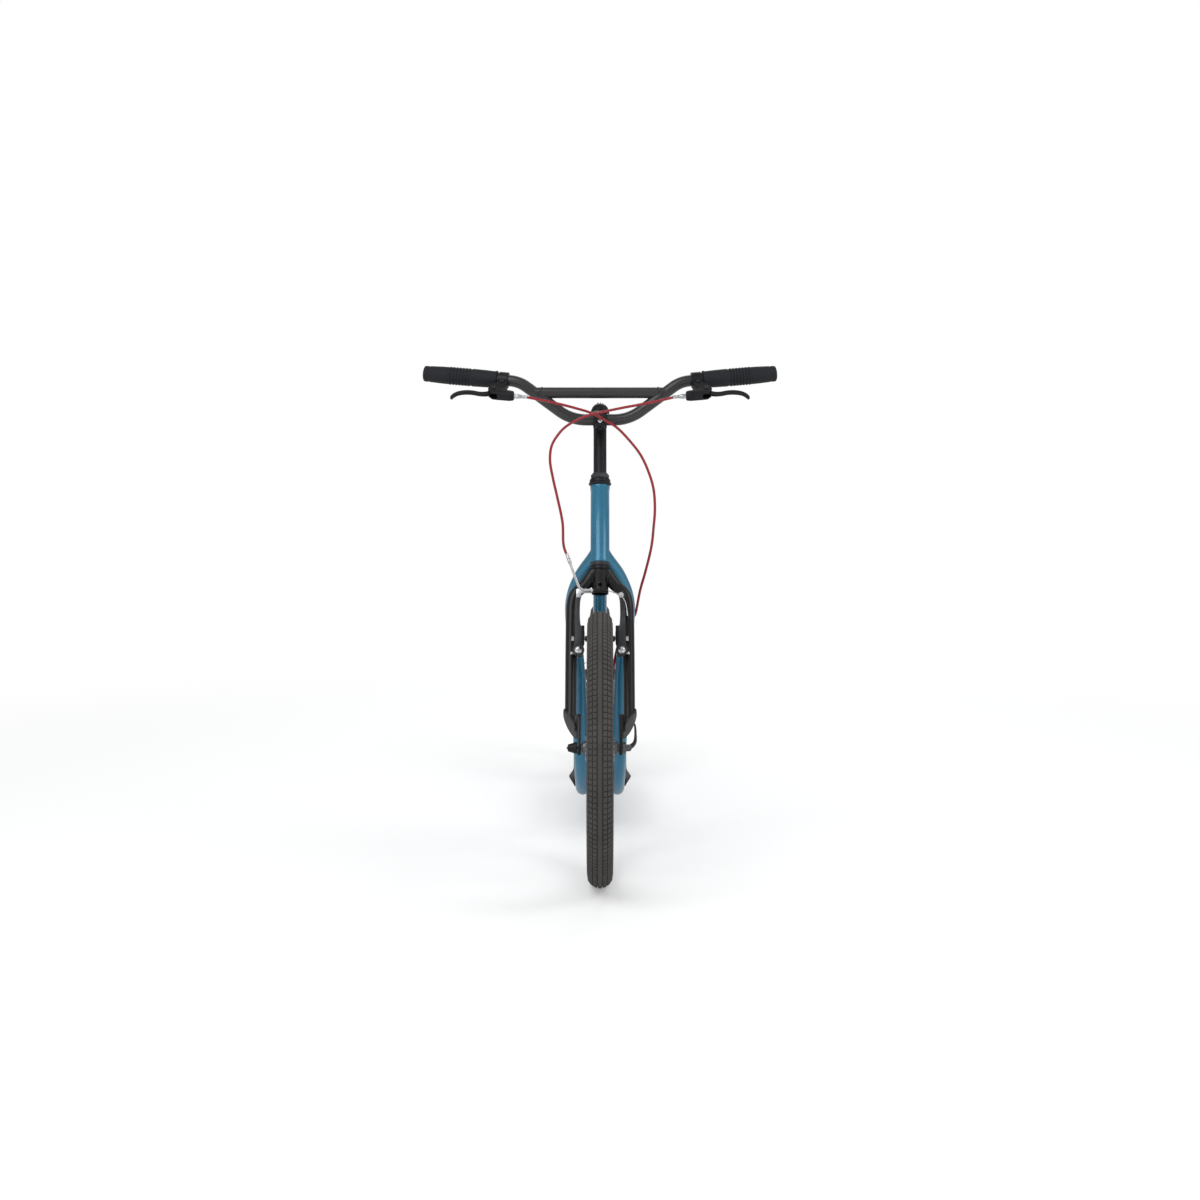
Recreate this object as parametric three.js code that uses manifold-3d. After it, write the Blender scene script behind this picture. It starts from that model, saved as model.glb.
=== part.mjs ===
// Kick bike: 20 inch front wheel, 16 inch rear wheel, low footboard between them, straight high steerer with a
// cross-braced handlebar and a linear-pull rim brake on each wheel.
// Millimetres. +Z is up and the bike faces -Y, so +X is the rider's left. The origin is on the ground under the
// middle of the bike's box. Places along the bike are given as the distance behind the front hub.
import * as THREE from "three";
import { mergeVertices, toCreasedNormals } from "three/addons/utils/BufferGeometryUtils.js";
import Module from "manifold-3d";

const wasm = await Module();
wasm.setup();

const DEGREE = Math.PI / 180;
const TURN = 2 * Math.PI;
const clearance = 0.3;
const overrun = 2;

// Driving dimensions
const wheelBase = 1080;
const headTilt = 18 * DEGREE;
const forkRake = 40;
const frontWheel = {
  name: "front",
  tyreRadius: 247,
  tyreWidth: 47,
  beadRadius: 203.2,
  rimDepth: 15,
  rimWidth: 25,
  hubHalfWidth: 34.7,
  hubRadius: 13,
  flangeRadius: 23,
  flangeSpread: 23,
  flangeThickness: 4,
  axleRadius: 4.6,
  spokes: 28,
  spokeRadius: 1,
  roundFacets: 32,
};
const rearWheel = {
  ...frontWheel,
  name: "rear",
  tyreRadius: 198,
  beadRadius: 152.6,
  hubHalfWidth: 45,
  flangeSpread: 30,
  spokes: 20,
  roundFacets: 28,
};
const headTube = { base: 352.7, length: 150, radius: 18, bore: 16.9 };
const steerer = { radius: 14.3, bore: 12.8, rise: 23.3 };
const crown = { stack: 15, height: 44.7, radius: 16, holeRise: 14.5, holeRadius: 3.2, ribs: 2.4 };
const blade = { topRadius: 12.7, radius: 10.8, spread: 53.6, rise: 4.3 };
const studs = { spacing: 80, radius: 4, bossRadius: 8.4, armHub: 17, boltRadius: 6.8, boltLength: 7 };
const frontBrake = { wheel: frontWheel, studRadius: 180, studSetback: 12 };
const rearBrake = { wheel: rearWheel, studRadius: 129, studSetback: 0, lift: 20 * DEGREE };
const sideTube = { radius: 14.3, deckHeight: 80, deckSpread: 35, facets: 10 };
const footboard = { top: 105.5, thickness: 10.9, skirt: 19.5, front: 452, rear: 806, halfWidth: 64 };
const barRadius = 11.1;
const barHalfWidth = 336;
const barHeight = 840;
const barSetback = 185;
const cableRadius = 2.5;

// Places worked out from them
const middle = (wheelBase + rearWheel.tyreRadius - frontWheel.tyreRadius) / 2;
const at = (x, behind, height) => new THREE.Vector3(x, behind - middle, height);
const frontHub = at(0, 0, frontWheel.tyreRadius);
const rearHub = at(0, wheelBase, rearWheel.tyreRadius);
const steeringBase = new THREE.Vector3(0, Math.cos(headTilt), -Math.sin(headTilt))
  .multiplyScalar(forkRake)
  .add(frontHub);

const headTop = headTube.base + headTube.length;
const steererTop = headTop + steerer.rise;
const crownTop = headTube.base - crown.stack;
const crownBase = crownTop - crown.height;
const crownHole = crownBase + crown.holeRise;
const bladeTop = crownTop + blade.rise;

// Materials
const finish = (color, roughness, metalness) => ({ color, roughness, metalness });
const framePaint = finish(0x437d9c, 0.35, 0.3);
const blackPaint = finish(0x1d1e20, 0.4, 0.2);
const blackAlloy = finish(0x2a2b2d, 0.45, 0.6);
const steel = finish(0xb9bcc0, 0.3, 0.9);
const hubAlloy = finish(0x8f9296, 0.4, 0.8);
const gripRubber = finish(0x1e2024, 0.85, 0);
const tyreRubber = finish(0x33322f, 0.9, 0);
const boardPlastic = finish(0x26272a, 0.7, 0);
const cableRed = finish(0x8c1f2c, 0.45, 0);

// Geometry helpers

// A closed geometry as a solid that can be joined and cut, with its faces turned outwards.
function solidOf(geometry) {
  const bare = (geometry.index ? geometry.toNonIndexed() : geometry.clone())
    .deleteAttribute("normal")
    .deleteAttribute("uv");
  const merged = mergeVertices(bare, 1e-4);
  const vertProperties = merged.attributes.position.array;
  const triVerts = new Uint32Array(merged.index.array);
  const make = () => new wasm.Manifold(new wasm.Mesh({ numProp: 3, vertProperties, triVerts }));
  const made = make();
  if (made.volume() > 0) return made;
  for (let i = 0; i < triVerts.length; i += 3) {
    [triVerts[i + 1], triVerts[i + 2]] = [triVerts[i + 2], triVerts[i + 1]];
  }
  return make();
}

const joined = (...solids) => solids.reduce((whole, next) => whole.add(next));
const cut = (solid, ...tools) => tools.reduce((left, tool) => left.subtract(tool), solid);
const largest = (solid) => solid.decompose().reduce((a, b) => (a.volume() > b.volume() ? a : b));
const mirrored = (solid) => solid.scale([-1, 1, 1]);

// A solid turned by a matrix that a three.js object would have at that place.
function placed(solid, position, rotation = new THREE.Euler()) {
  const matrix = new THREE.Matrix4().makeRotationFromEuler(rotation).setPosition(position);
  return solid.transform(matrix.elements);
}

function box(low, high) {
  const size = new THREE.Vector3().subVectors(high, low);
  const centre = new THREE.Vector3().addVectors(low, high).multiplyScalar(0.5);
  return placed(solidOf(new THREE.BoxGeometry(size.x, size.y, size.z)), centre);
}

// A solid of revolution about X, Y or Z. The profile's points are [radius, place on the axis].
function revolved(profile, axis, facets) {
  const points = profile.map(([radius, place]) => new THREE.Vector2(radius, place));
  const geometry = new THREE.LatheGeometry(points, facets);
  if (axis === "x") geometry.rotateZ(-Math.PI / 2);
  if (axis === "z") geometry.rotateX(Math.PI / 2);
  return solidOf(geometry);
}

const disc = (radius, low, high) => [
  [0, low],
  [radius, low],
  [radius, high],
  [0, high],
];
const ring = (inner, outer, low, high) => [
  [inner, low],
  [outer, low],
  [outer, high],
  [inner, high],
  [inner, low],
];

// A round bar between two points.
function rod(from, to, radius, facets) {
  const geometry = new THREE.CylinderGeometry(radius, radius, from.distanceTo(to), facets);
  const turn = new THREE.Quaternion().setFromUnitVectors(
    new THREE.Vector3(0, 1, 0),
    new THREE.Vector3().subVectors(to, from).normalize(),
  );
  geometry.applyQuaternion(turn);
  geometry.translate((from.x + to.x) / 2, (from.y + to.y) / 2, (from.z + to.z) / 2);
  return solidOf(geometry);
}

// A curve put together from curves, each with its own number of steps.
class JoinedPath extends THREE.Curve {
  constructor(pieces) {
    super();
    this.pieces = pieces;
    this.steps = pieces.reduce((sum, [, steps]) => sum + steps, 0);
  }

  find(share) {
    let place = share * this.steps;
    for (const [curve, steps] of this.pieces) {
      if (place <= steps + 1e-9) return [curve, Math.min(place / steps, 1)];
      place -= steps;
    }
    return [this.pieces.at(-1)[0], 1];
  }

  getPoint(share, target = new THREE.Vector3()) {
    const [curve, part] = this.find(share);
    return curve.getPointAt(part, target);
  }

  getPointAt(share, target) {
    return this.getPoint(share, target);
  }

  getTangentAt(share, target = new THREE.Vector3()) {
    const [curve, part] = this.find(share);
    return curve.getTangentAt(part, target);
  }
}

// The arc that rounds the corner of a bent tube.
class Bend extends THREE.Curve {
  constructor(before, corner, after, radius) {
    super();
    const inward = new THREE.Vector3().subVectors(before, corner).normalize();
    const outward = new THREE.Vector3().subVectors(after, corner).normalize();
    this.angle = Math.PI - inward.angleTo(outward);
    this.radius = radius;
    const reach = radius * Math.tan(this.angle / 2);
    this.start = corner.clone().addScaledVector(inward, reach);
    this.end = corner.clone().addScaledVector(outward, reach);
    this.forward = inward.clone().negate();
    this.inside = new THREE.Vector3().addVectors(inward, outward).normalize();
    this.inside.addScaledVector(this.forward, -this.inside.dot(this.forward)).normalize();
  }

  getPoint(share, target = new THREE.Vector3()) {
    const angle = share * this.angle;
    return target
      .copy(this.start)
      .addScaledVector(this.forward, this.radius * Math.sin(angle))
      .addScaledVector(this.inside, this.radius * (1 - Math.cos(angle)));
  }

  getTangent(share, target = new THREE.Vector3()) {
    const angle = share * this.angle;
    return target
      .set(0, 0, 0)
      .addScaledVector(this.forward, Math.cos(angle))
      .addScaledVector(this.inside, Math.sin(angle));
  }
}

// Straight runs between corners, each corner rounded with its radius in its number of steps.
function bentRun(points, radii, steps) {
  const pieces = [];
  let start = points[0];
  for (let i = 1; i < points.length - 1; i++) {
    const bend = new Bend(points[i - 1], points[i], points[i + 1], radii[i - 1]);
    pieces.push([new THREE.LineCurve3(start, bend.start), 1], [bend, steps[i - 1]]);
    start = bend.end;
  }
  pieces.push([new THREE.LineCurve3(start, points.at(-1)), 1]);
  return pieces;
}

function polygon(radius, facets) {
  const corners = [];
  for (let i = 0; i < facets; i++) {
    const angle = (TURN * (i + 0.5)) / facets;
    corners.push(new THREE.Vector2(radius * Math.cos(angle), radius * Math.sin(angle)));
  }
  return new THREE.Shape(corners);
}

// A round tube or cord along a path.
function swept(path, radius, facets, steps = path.steps) {
  const options = { steps, extrudePath: path, bevelEnabled: false };
  return solidOf(new THREE.ExtrudeGeometry(polygon(radius, facets), options));
}

// A closed skin through rings of equally many points, with flat ends.
function lofted(rings) {
  const count = rings[0].length;
  const corners = rings.flat();
  const faces = [];
  const side = (i, j) => i * count + (j % count);
  for (let i = 0; i + 1 < rings.length; i++) {
    for (let j = 0; j < count; j++) {
      faces.push(side(i, j), side(i, j + 1), side(i + 1, j + 1));
      faces.push(side(i, j), side(i + 1, j + 1), side(i + 1, j));
    }
  }
  const last = rings.length - 1;
  for (let j = 1; j + 1 < count; j++) {
    faces.push(side(0, 0), side(0, j + 1), side(0, j));
    faces.push(side(last, 0), side(last, j), side(last, j + 1));
  }
  const geometry = new THREE.BufferGeometry().setFromPoints(corners);
  geometry.setIndex(faces);
  return solidOf(geometry);
}

// A tube whose half width and half height change along a path. sizeAt gives both for a share of the length.
function tapered(path, steps, facets, sizeAt) {
  const frames = path.computeFrenetFrames(steps, false);
  const rings = [];
  for (let i = 0; i <= steps; i++) {
    const centre = path.getPointAt(i / steps);
    const [wide, high] = sizeAt(i / steps);
    const ringPoints = [];
    for (let j = 0; j < facets; j++) {
      const angle = (TURN * j) / facets;
      const point = centre.clone().addScaledVector(frames.normals[i], wide * Math.cos(angle));
      ringPoints.push(point.addScaledVector(frames.binormals[i], high * Math.sin(angle)));
    }
    rings.push(ringPoints);
  }
  return lofted(rings);
}

// A flat outline in two named directions, thickened in the third.
function plate(shape, low, high, plane = "xy", curveSegments = 3) {
  const options = { depth: high - low, bevelEnabled: false, curveSegments };
  const geometry = new THREE.ExtrudeGeometry(shape, options).translate(0, 0, low);
  if (plane === "xz") geometry.rotateX(Math.PI / 2).scale(1, -1, 1);
  if (plane === "yz") geometry.applyMatrix4(new THREE.Matrix4().set(0, 0, 1, 0, 1, 0, 0, 0, 0, 1, 0, 0, 0, 0, 0, 1));
  return solidOf(geometry);
}

// A slim outline with round ends through the given points, each with its own radius.
function linkShape(knots) {
  const shape = new THREE.Shape();
  knots.forEach(([x, y, radius, from, to], i) => {
    if (i === 0) shape.moveTo(x + radius * Math.cos(from), y + radius * Math.sin(from));
    shape.absarc(x, y, radius, from, to, false);
  });
  shape.closePath();
  return shape;
}

function mesh(name, solid, look) {
  const { vertProperties, triVerts, numProp } = solid.getMesh();
  const geometry = new THREE.BufferGeometry();
  geometry.setAttribute("position", new THREE.BufferAttribute(vertProperties, numProp));
  geometry.setIndex(new THREE.BufferAttribute(triVerts, 1));
  const made = new THREE.Mesh(toCreasedNormals(geometry, 35 * DEGREE), new THREE.MeshStandardMaterial(look));
  made.name = name;
  return made;
}

// Wheels

const rimFlange = { height: 6, thickness: 1.6, wall: 6, bed: 2, innerHalfWidth: 7 };
const casing = { wall: 3.2, bead: 2.6, rib: 3.5, groove: 1.1, grooveDepth: 2 };
const cone = { radius: 8, thickness: 2.7 };
const valve = { radius: 2.6, length: 38 };

// The tyre's section is a circle of its width, open at the beads, with a rib between two grooves on the crown.
function tyre(wheel) {
  const half = wheel.tyreWidth / 2;
  const centre = wheel.tyreRadius - half;
  const bead = wheel.beadRadius;
  const seat = wheel.rimWidth / 2 - rimFlange.thickness - clearance;
  const around = (radius, degrees) => [
    centre + radius * Math.cos(degrees * DEGREE),
    radius * Math.sin(degrees * DEGREE),
  ];
  const inside = half - casing.wall;
  const side = [
    [wheel.tyreRadius, casing.rib],
    [wheel.tyreRadius - casing.grooveDepth, casing.rib + casing.groove],
    ...[38, 96].map((degrees) => around(half, degrees)),
    [bead + rimFlange.height + clearance, seat],
    [bead - rimFlange.bed + clearance, seat],
    [bead - rimFlange.bed + clearance, seat - casing.bead],
    [bead + rimFlange.height + clearance, seat - casing.bead],
    ...[100, 60].map((degrees) => around(inside, degrees)),
  ];
  const otherSide = side.map(([radius, place]) => [radius, -place]).reverse();
  const profile = [...side, around(inside, 0), ...otherSide, side[0]];
  return revolved(profile, "x", wheel.roundFacets);
}

// The inner tube fills the casing above the rim bed. Its valve goes through the rim.
function innerTube(wheel) {
  const half = wheel.tyreWidth / 2;
  const centre = wheel.tyreRadius - half;
  const radius = (half - casing.wall) * Math.cos(35 * DEGREE) - clearance;
  const corners = [];
  for (let i = 0; i <= 6; i++) {
    const angle = (TURN * i) / 6;
    corners.push([centre + radius * Math.cos(angle), radius * Math.sin(angle)]);
  }
  const height = centre - radius;
  const stem = rod(
    new THREE.Vector3(0, 0, height + overrun),
    new THREE.Vector3(0, 0, height - valve.length),
    valve.radius,
    8,
  );
  return joined(revolved(corners, "x", wheel.roundFacets), stem);
}

function rim(wheel) {
  const half = wheel.rimWidth / 2;
  const bead = wheel.beadRadius;
  const top = bead + rimFlange.height;
  const side = [
    [top, half - rimFlange.thickness],
    [top, half],
    [bead - rimFlange.wall, half],
    [bead - wheel.rimDepth, rimFlange.innerHalfWidth],
  ];
  const otherSide = side.map(([radius, place]) => [radius, -place]).reverse();
  const bed = [bead - rimFlange.bed, half - rimFlange.thickness];
  const profile = [bed, ...side, ...otherSide, [bed[0], -bed[1]], bed];
  const hole = rod(
    new THREE.Vector3(0, 0, bead),
    new THREE.Vector3(0, 0, bead - wheel.rimDepth - overrun),
    valve.radius + clearance,
    8,
  );
  return cut(revolved(profile, "x", wheel.roundFacets), hole);
}

// Spokes leave each flange in pairs and cross twice on their way to the rim.
function hub(wheel) {
  const end = wheel.hubHalfWidth - cone.thickness - clearance;
  const outerFace = wheel.flangeSpread + wheel.flangeThickness / 2;
  const innerFace = wheel.flangeSpread - wheel.flangeThickness / 2;
  const side = [
    [wheel.axleRadius + clearance, end],
    [wheel.hubRadius - wheel.spokeRadius, end],
    [wheel.hubRadius - wheel.spokeRadius, outerFace],
    [wheel.flangeRadius, outerFace],
    [wheel.flangeRadius, innerFace],
    [wheel.hubRadius, innerFace - wheel.flangeThickness],
  ];
  const otherSide = side.map(([radius, place]) => [radius, -place]).reverse();
  let made = revolved([...side, ...otherSide, side[0]], "x", 12);
  const holeRadius = wheel.flangeRadius - 2 * wheel.spokeRadius;
  const rimRadius = (wheel.beadRadius - wheel.rimDepth) * Math.cos(Math.PI / wheel.roundFacets) - clearance;
  const pitch = TURN / wheel.spokes;
  for (let i = 0; i < wheel.spokes; i++) {
    const flange = i % 2 ? -1 : 1;
    const lean = i % 4 < 2 ? 1 : -1;
    const atRim = (i + 0.5) * pitch;
    const atHub = atRim + lean * 4 * pitch;
    const offset = wheel.flangeSpread + lean * wheel.flangeThickness * 0.5;
    const foot = new THREE.Vector3(flange * offset, holeRadius * Math.sin(atHub), holeRadius * Math.cos(atHub));
    const head = new THREE.Vector3(0, rimRadius * Math.sin(atRim), rimRadius * Math.cos(atRim));
    head.x = flange * rimFlange.bed;
    made = made.add(rod(foot, head, wheel.spokeRadius, 3));
  }
  return made;
}

function wheelGroup(wheel, centre) {
  const group = new THREE.Group();
  group.position.copy(centre);
  group.add(
    mesh(`${wheel.name}_tyre`, tyre(wheel), tyreRubber),
    mesh(`${wheel.name}_inner_tube`, innerTube(wheel), tyreRubber),
    mesh(`${wheel.name}_rim`, rim(wheel), blackAlloy),
    mesh(`${wheel.name}_hub`, hub(wheel), hubAlloy),
  );
  return group;
}

// Frame

const wing = { spread: 52, startShare: 0.15, backReach: 108, bottom: 342 };
const wingShares = [
  [0.07, 0, 1],
  [0.7, 0.24, 0.79],
  [1, 0.42, 0.6],
  [0.875, 0.865, 0.15],
  [0.817, 1, 0],
];
const stay = {
  frontSlope: 0.377,
  frontBend: 200,
  riseSetback: 234,
  riseBend: 70,
  topBend: 60,
  crestSetback: 145,
  crestHeight: 222,
  spread: 44.5,
};
const bridge = { radius: 9, frontShare: 0.4, rearShare: 0.45 };
const centreTube = { radius: 13.2, topShare: 0.56 };
const dropout = { thickness: 5, lobe: 15, tongue: 10, reach: 36 };
const axleNut = { flats: 15, length: 9, washerRadius: 10, washer: 2, stick: 4 };
const stayCrest = at(stay.spread, wheelBase - stay.crestSetback, stay.crestHeight);
const rearDropoutMiddle = rearWheel.hubHalfWidth + clearance + dropout.thickness / 2;
const rearRadial = new THREE.Vector3(0, -Math.cos(rearBrake.lift), Math.sin(rearBrake.lift));
const rearOutward = new THREE.Vector3(0, Math.sin(rearBrake.lift), Math.cos(rearBrake.lift));

// A place on the steering axis's own grid: across, behind the axis, along it.
const steered = (x, behindAxis, along) => new THREE.Vector3(x, behindAxis, along);
const fromSteering = (point) =>
  point.clone().applyEuler(new THREE.Euler(-headTilt, 0, 0)).add(steeringBase);

function sideTubePath() {
  const start = fromSteering(steered(0, 0, headTube.base + headTube.length * wing.startShare));
  const through = wingShares.map(
    ([across, back, up]) =>
      new THREE.Vector3(
        across * wing.spread,
        start.y + back * wing.backReach,
        wing.bottom + up * (start.z - wing.bottom),
      ),
  );
  const upper = new THREE.CatmullRomCurve3(through, false, "centripetal");
  const leaving = through.at(-1);
  const drop = leaving.z - sideTube.deckHeight;
  const turn = at(sideTube.deckSpread, 0, sideTube.deckHeight);
  turn.y = leaving.y + drop * stay.frontSlope;
  const corners = [
    leaving,
    turn,
    at(sideTube.deckSpread, wheelBase - stay.riseSetback, sideTube.deckHeight),
    stayCrest,
    rearTongue(dropout.reach / 2),
  ];
  const lower = bentRun(corners, [stay.frontBend, stay.riseBend, stay.topBend], [6, 3, 3]);
  return new JoinedPath([[upper, 7], ...lower]);
}

// The middle of the rear dropout's tongue, a given way in front of the axle.
function rearTongue(reach) {
  const hubPoint = new THREE.Vector3(rearDropoutMiddle, rearHub.y, rearHub.z);
  const forward = new THREE.Vector3().subVectors(stayCrest, hubPoint).setX(0).normalize();
  return hubPoint.addScaledVector(forward, reach);
}

// A brake stud with its boss, from the foot in the tube to the bolt that holds the arm on.
function brakeStud(foot, outward, bossLength) {
  const along = (length) => foot.clone().addScaledVector(outward, length);
  const bearing = bossLength + studs.armHub + 2 * clearance;
  return joined(
    rod(foot, along(bossLength), studs.bossRadius, 10),
    rod(foot, along(bearing + overrun), studs.radius, 6),
    rod(along(bearing), along(bearing + studs.boltLength / 2), studs.boltRadius, 8),
    rod(along(bearing), along(bearing + studs.boltLength), studs.boltRadius * 0.6, 6),
  );
}

function rearStud() {
  const boss = 21;
  const offset = studs.armHub / 2 + clearance + boss;
  const foot = rearHub
    .clone()
    .addScaledVector(rearRadial, rearBrake.studRadius)
    .addScaledVector(rearOutward, -offset);
  foot.x = studs.spacing / 2;
  return brakeStud(foot, rearOutward, boss);
}

// The room of the head tube and of the headset cup under it.
function headTubeCutter() {
  const tube = disc(headTube.radius + clearance, headTube.base, headTube.base + 2 * headTube.length);
  const cup = disc(headset.flange + 2 * clearance, headTube.base - headTube.length, headTube.base + clearance);
  const room = revolved(tube, "z", 24).add(revolved(cup, "z", 24));
  return placed(room, steeringBase, new THREE.Euler(-headTilt, 0, 0));
}

// Left side tube: from the head tube round the front wheel, under the footboard and over to the rear dropout.
function leftSideTube() {
  const path = sideTubePath();
  const tube = swept(path, sideTube.radius, sideTube.facets);
  const far = wheelBase;
  const otherSide = box(new THREE.Vector3(-far, -far, -far), new THREE.Vector3(clearance / 2, far, far));
  const slotHalf = dropout.thickness / 2 + clearance;
  const slotStart = rearTongue(dropout.reach).y - dropout.tongue - clearance;
  const slot = box(
    new THREE.Vector3(rearDropoutMiddle - slotHalf, slotStart, 0),
    new THREE.Vector3(rearDropoutMiddle + slotHalf, rearHub.y, far),
  );
  return largest(cut(tube.add(rearStud()), headTubeCutter(), otherSide, slot));
}

const grownSideTubes = () => {
  const one = swept(sideTubePath(), sideTube.radius + clearance, sideTube.facets);
  return one.add(mirrored(one));
};

function crossBridge(pieceIndex, share) {
  const [curve] = sideTubePath().pieces[pieceIndex];
  const end = curve.getPointAt(share);
  const other = end.clone().setX(-end.x);
  return largest(cut(rod(end, other, bridge.radius, 12), grownSideTubes()));
}

const frontBridgeCentre = () => sideTubePath().pieces[2][0].getPointAt(bridge.frontShare).setX(0);

// The tube behind the head tube runs down to the front bridge.
function middleTube() {
  const top = fromSteering(steered(0, 0, headTube.base + headTube.length * centreTube.topShare));
  const foot = frontBridgeCentre();
  const across = new THREE.Vector3(sideTube.deckSpread, 0, 0);
  const seat = rod(foot.clone().sub(across), foot.clone().add(across), bridge.radius + clearance, 12);
  return largest(cut(rod(top, foot, centreTube.radius, 14), headTubeCutter(), seat));
}

// The board's sides lean in below its top edge and hug the tubes. Half widths are shares of the widest.
function board() {
  const shares = [
    [0, 0.9],
    [0.06, 1],
    [0.33, 0.87],
    [0.86, 0.9],
    [0.97, 0.84],
    [1, 0.78],
  ];
  const skirtHalf = sideTube.deckSpread + sideTube.radius + casing.bead;
  const rings = shares.map(([along, wide]) => {
    const behind = footboard.front + along * (footboard.rear - footboard.front);
    const half = Math.max(wide * footboard.halfWidth, skirtHalf);
    const low = footboard.top - footboard.skirt;
    return [
      at(-half, behind, footboard.top),
      at(-skirtHalf, behind, low),
      at(skirtHalf, behind, low),
      at(half, behind, footboard.top),
    ];
  });
  const inner = sideTube.deckSpread + sideTube.radius;
  const hollow = box(
    at(-inner, footboard.front - overrun, 0),
    at(inner, footboard.rear + overrun, footboard.top - footboard.thickness),
  );
  return largest(cut(lofted(rings), hollow, grownSideTubes()));
}

// Rear dropout: a plate with a rearward slot for the axle.
function leftRearDropout() {
  const tongue = rearTongue(dropout.reach);
  const angle = Math.atan2(tongue.z - rearHub.z, tongue.y - rearHub.y);
  const side = Math.PI / 2;
  const shape = linkShape([
    [rearHub.y, rearHub.z, dropout.lobe, angle + side, angle + 3 * side],
    [tongue.y, tongue.z, dropout.tongue, angle - side, angle + side],
  ]);
  const half = dropout.thickness / 2;
  const solid = plate(shape, rearDropoutMiddle - half, rearDropoutMiddle + half, "yz");
  const slotHalf = rearWheel.axleRadius + clearance;
  const slot = box(
    new THREE.Vector3(0, rearHub.y, rearHub.z - slotHalf),
    new THREE.Vector3(wheelBase, rearHub.y + dropout.lobe + overrun, rearHub.z + slotHalf),
  );
  const far = new THREE.Vector3(wheelBase, rearHub.y, rearHub.z);
  return cut(solid, slot, rod(rearHub, far, slotHalf, 10));
}

const headset = {
  flange: 18.8,
  cupHeight: 6.4,
  sleeve: 10,
  sleeveWall: 1.8,
  widest: 21.8,
  upperHeight: 5,
  raceRadius: 20,
  raceHeight: 7.7,
  nutRadius: 20,
  nutHeight: 7,
  nutLip: 14.6,
};

function lowerCup() {
  const inner = steerer.radius + clearance;
  const top = headTube.base - clearance;
  const sleeve = headTube.bore - clearance;
  const profile = [
    [sleeve - headset.sleeveWall, top + headset.sleeve],
    [sleeve - headset.sleeveWall, top],
    [inner + clearance, top - headset.cupHeight],
    [headset.flange - 1.2 * clearance, top - headset.cupHeight],
    [headset.flange, top],
    [sleeve, top],
    [sleeve, top + headset.sleeve],
  ];
  return revolved([...profile, profile[0]], "z", 14);
}

function upperCup() {
  const inner = steerer.radius + clearance;
  const base = headTop + clearance;
  const sleeve = headTube.bore - clearance;
  const profile = [
    [sleeve - headset.sleeveWall, base - headset.sleeve],
    [sleeve, base - headset.sleeve],
    [sleeve, base],
    [headset.flange, base],
    [headset.widest, base + headset.upperHeight * 0.6],
    [headset.widest, base + headset.upperHeight],
    [inner + clearance, base + headset.upperHeight],
    [sleeve - headset.sleeveWall, base],
  ];
  return revolved([...profile, profile[0]], "z", 14);
}

function rearAxle() {
  const thread = rearWheel.axleRadius - clearance;
  const inner = rearWheel.hubHalfWidth - cone.thickness;
  const side = [
    [0, rearDropoutMiddle + dropout.thickness / 2 + axleNut.length + axleNut.stick],
    [thread, rearDropoutMiddle + dropout.thickness / 2 + axleNut.length + axleNut.stick],
    [thread, rearWheel.hubHalfWidth],
    [cone.radius, rearWheel.hubHalfWidth],
    [cone.radius, inner],
    [thread, inner],
  ];
  const otherSide = side.map(([radius, place]) => [radius, -place]).reverse();
  return revolved([...side, ...otherSide], "x", 10);
}

// Domed nut with its washer, outside the dropout.
function leftAxleNut() {
  const low = rearDropoutMiddle + dropout.thickness / 2 + clearance;
  const corner = axleNut.flats / 2 / Math.cos(Math.PI / 6);
  const hex = revolved(disc(corner, low, low + axleNut.length), "x", 6);
  const washer = revolved(disc(axleNut.washerRadius, low, low + axleNut.washer), "x", 16);
  const bore = revolved(disc(rearWheel.axleRadius, 0, wheelBase), "x", 12);
  return cut(hex.add(washer), bore);
}

function frameGroup() {
  const group = new THREE.Group();
  const left = leftSideTube();
  const plateLeft = leftRearDropout();
  group.add(
    mesh("left_side_tube", left, framePaint),
    mesh("right_side_tube", mirrored(left), framePaint),
    mesh("centre_tube", middleTube(), framePaint),
    mesh("front_bridge", crossBridge(2, bridge.frontShare), framePaint),
    mesh("rear_bridge", crossBridge(4, bridge.rearShare), framePaint),
    mesh("left_rear_dropout", plateLeft, framePaint),
    mesh("right_rear_dropout", mirrored(plateLeft), framePaint),
    mesh("footboard", board(), boardPlastic),
  );
  const head = new THREE.Group();
  head.position.copy(steeringBase);
  head.rotation.x = -headTilt;
  const tube = ring(headTube.bore, headTube.radius, headTube.base, headTop);
  head.add(
    mesh("head_tube", revolved(tube, "z", 24), framePaint),
    mesh("lower_headset_cup", lowerCup(), blackAlloy),
    mesh("upper_headset_cup", upperCup(), blackAlloy),
  );
  const axle = new THREE.Group();
  axle.position.copy(rearHub);
  const nut = leftAxleNut();
  axle.add(
    mesh("rear_axle", rearAxle(), steel),
    mesh("left_axle_nut", nut, steel),
    mesh("right_axle_nut", mirrored(nut), steel),
  );
  group.add(head, axle);
  return group;
}

// Fork

const bladeShares = [
  [0.09, 0, 1],
  [0.2, 0, 0.977],
  [0.52, 0, 0.908],
  [0.86, 0.02, 0.856],
  [0.97, 0.05, 0.8],
  [0.99, 0.1, 0.724],
  [1, 0.2, 0.526],
  [1, 0.38, 0.322],
  [1, 0.62, 0.132],
  [1, 0.8, 0.02],
];
const forkEnd = {
  thickness: 6,
  root: 12,
  lobe: 13,
  rootRadius: 8,
  rootHeights: [30, 56],
  rootSetback: 13,
  cutHeight: 44,
  capThickness: 2.6,
  capRim: 2.4,
};
const cutNormal = new THREE.Vector3(0.74, -0.5, -0.42).normalize();

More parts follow.
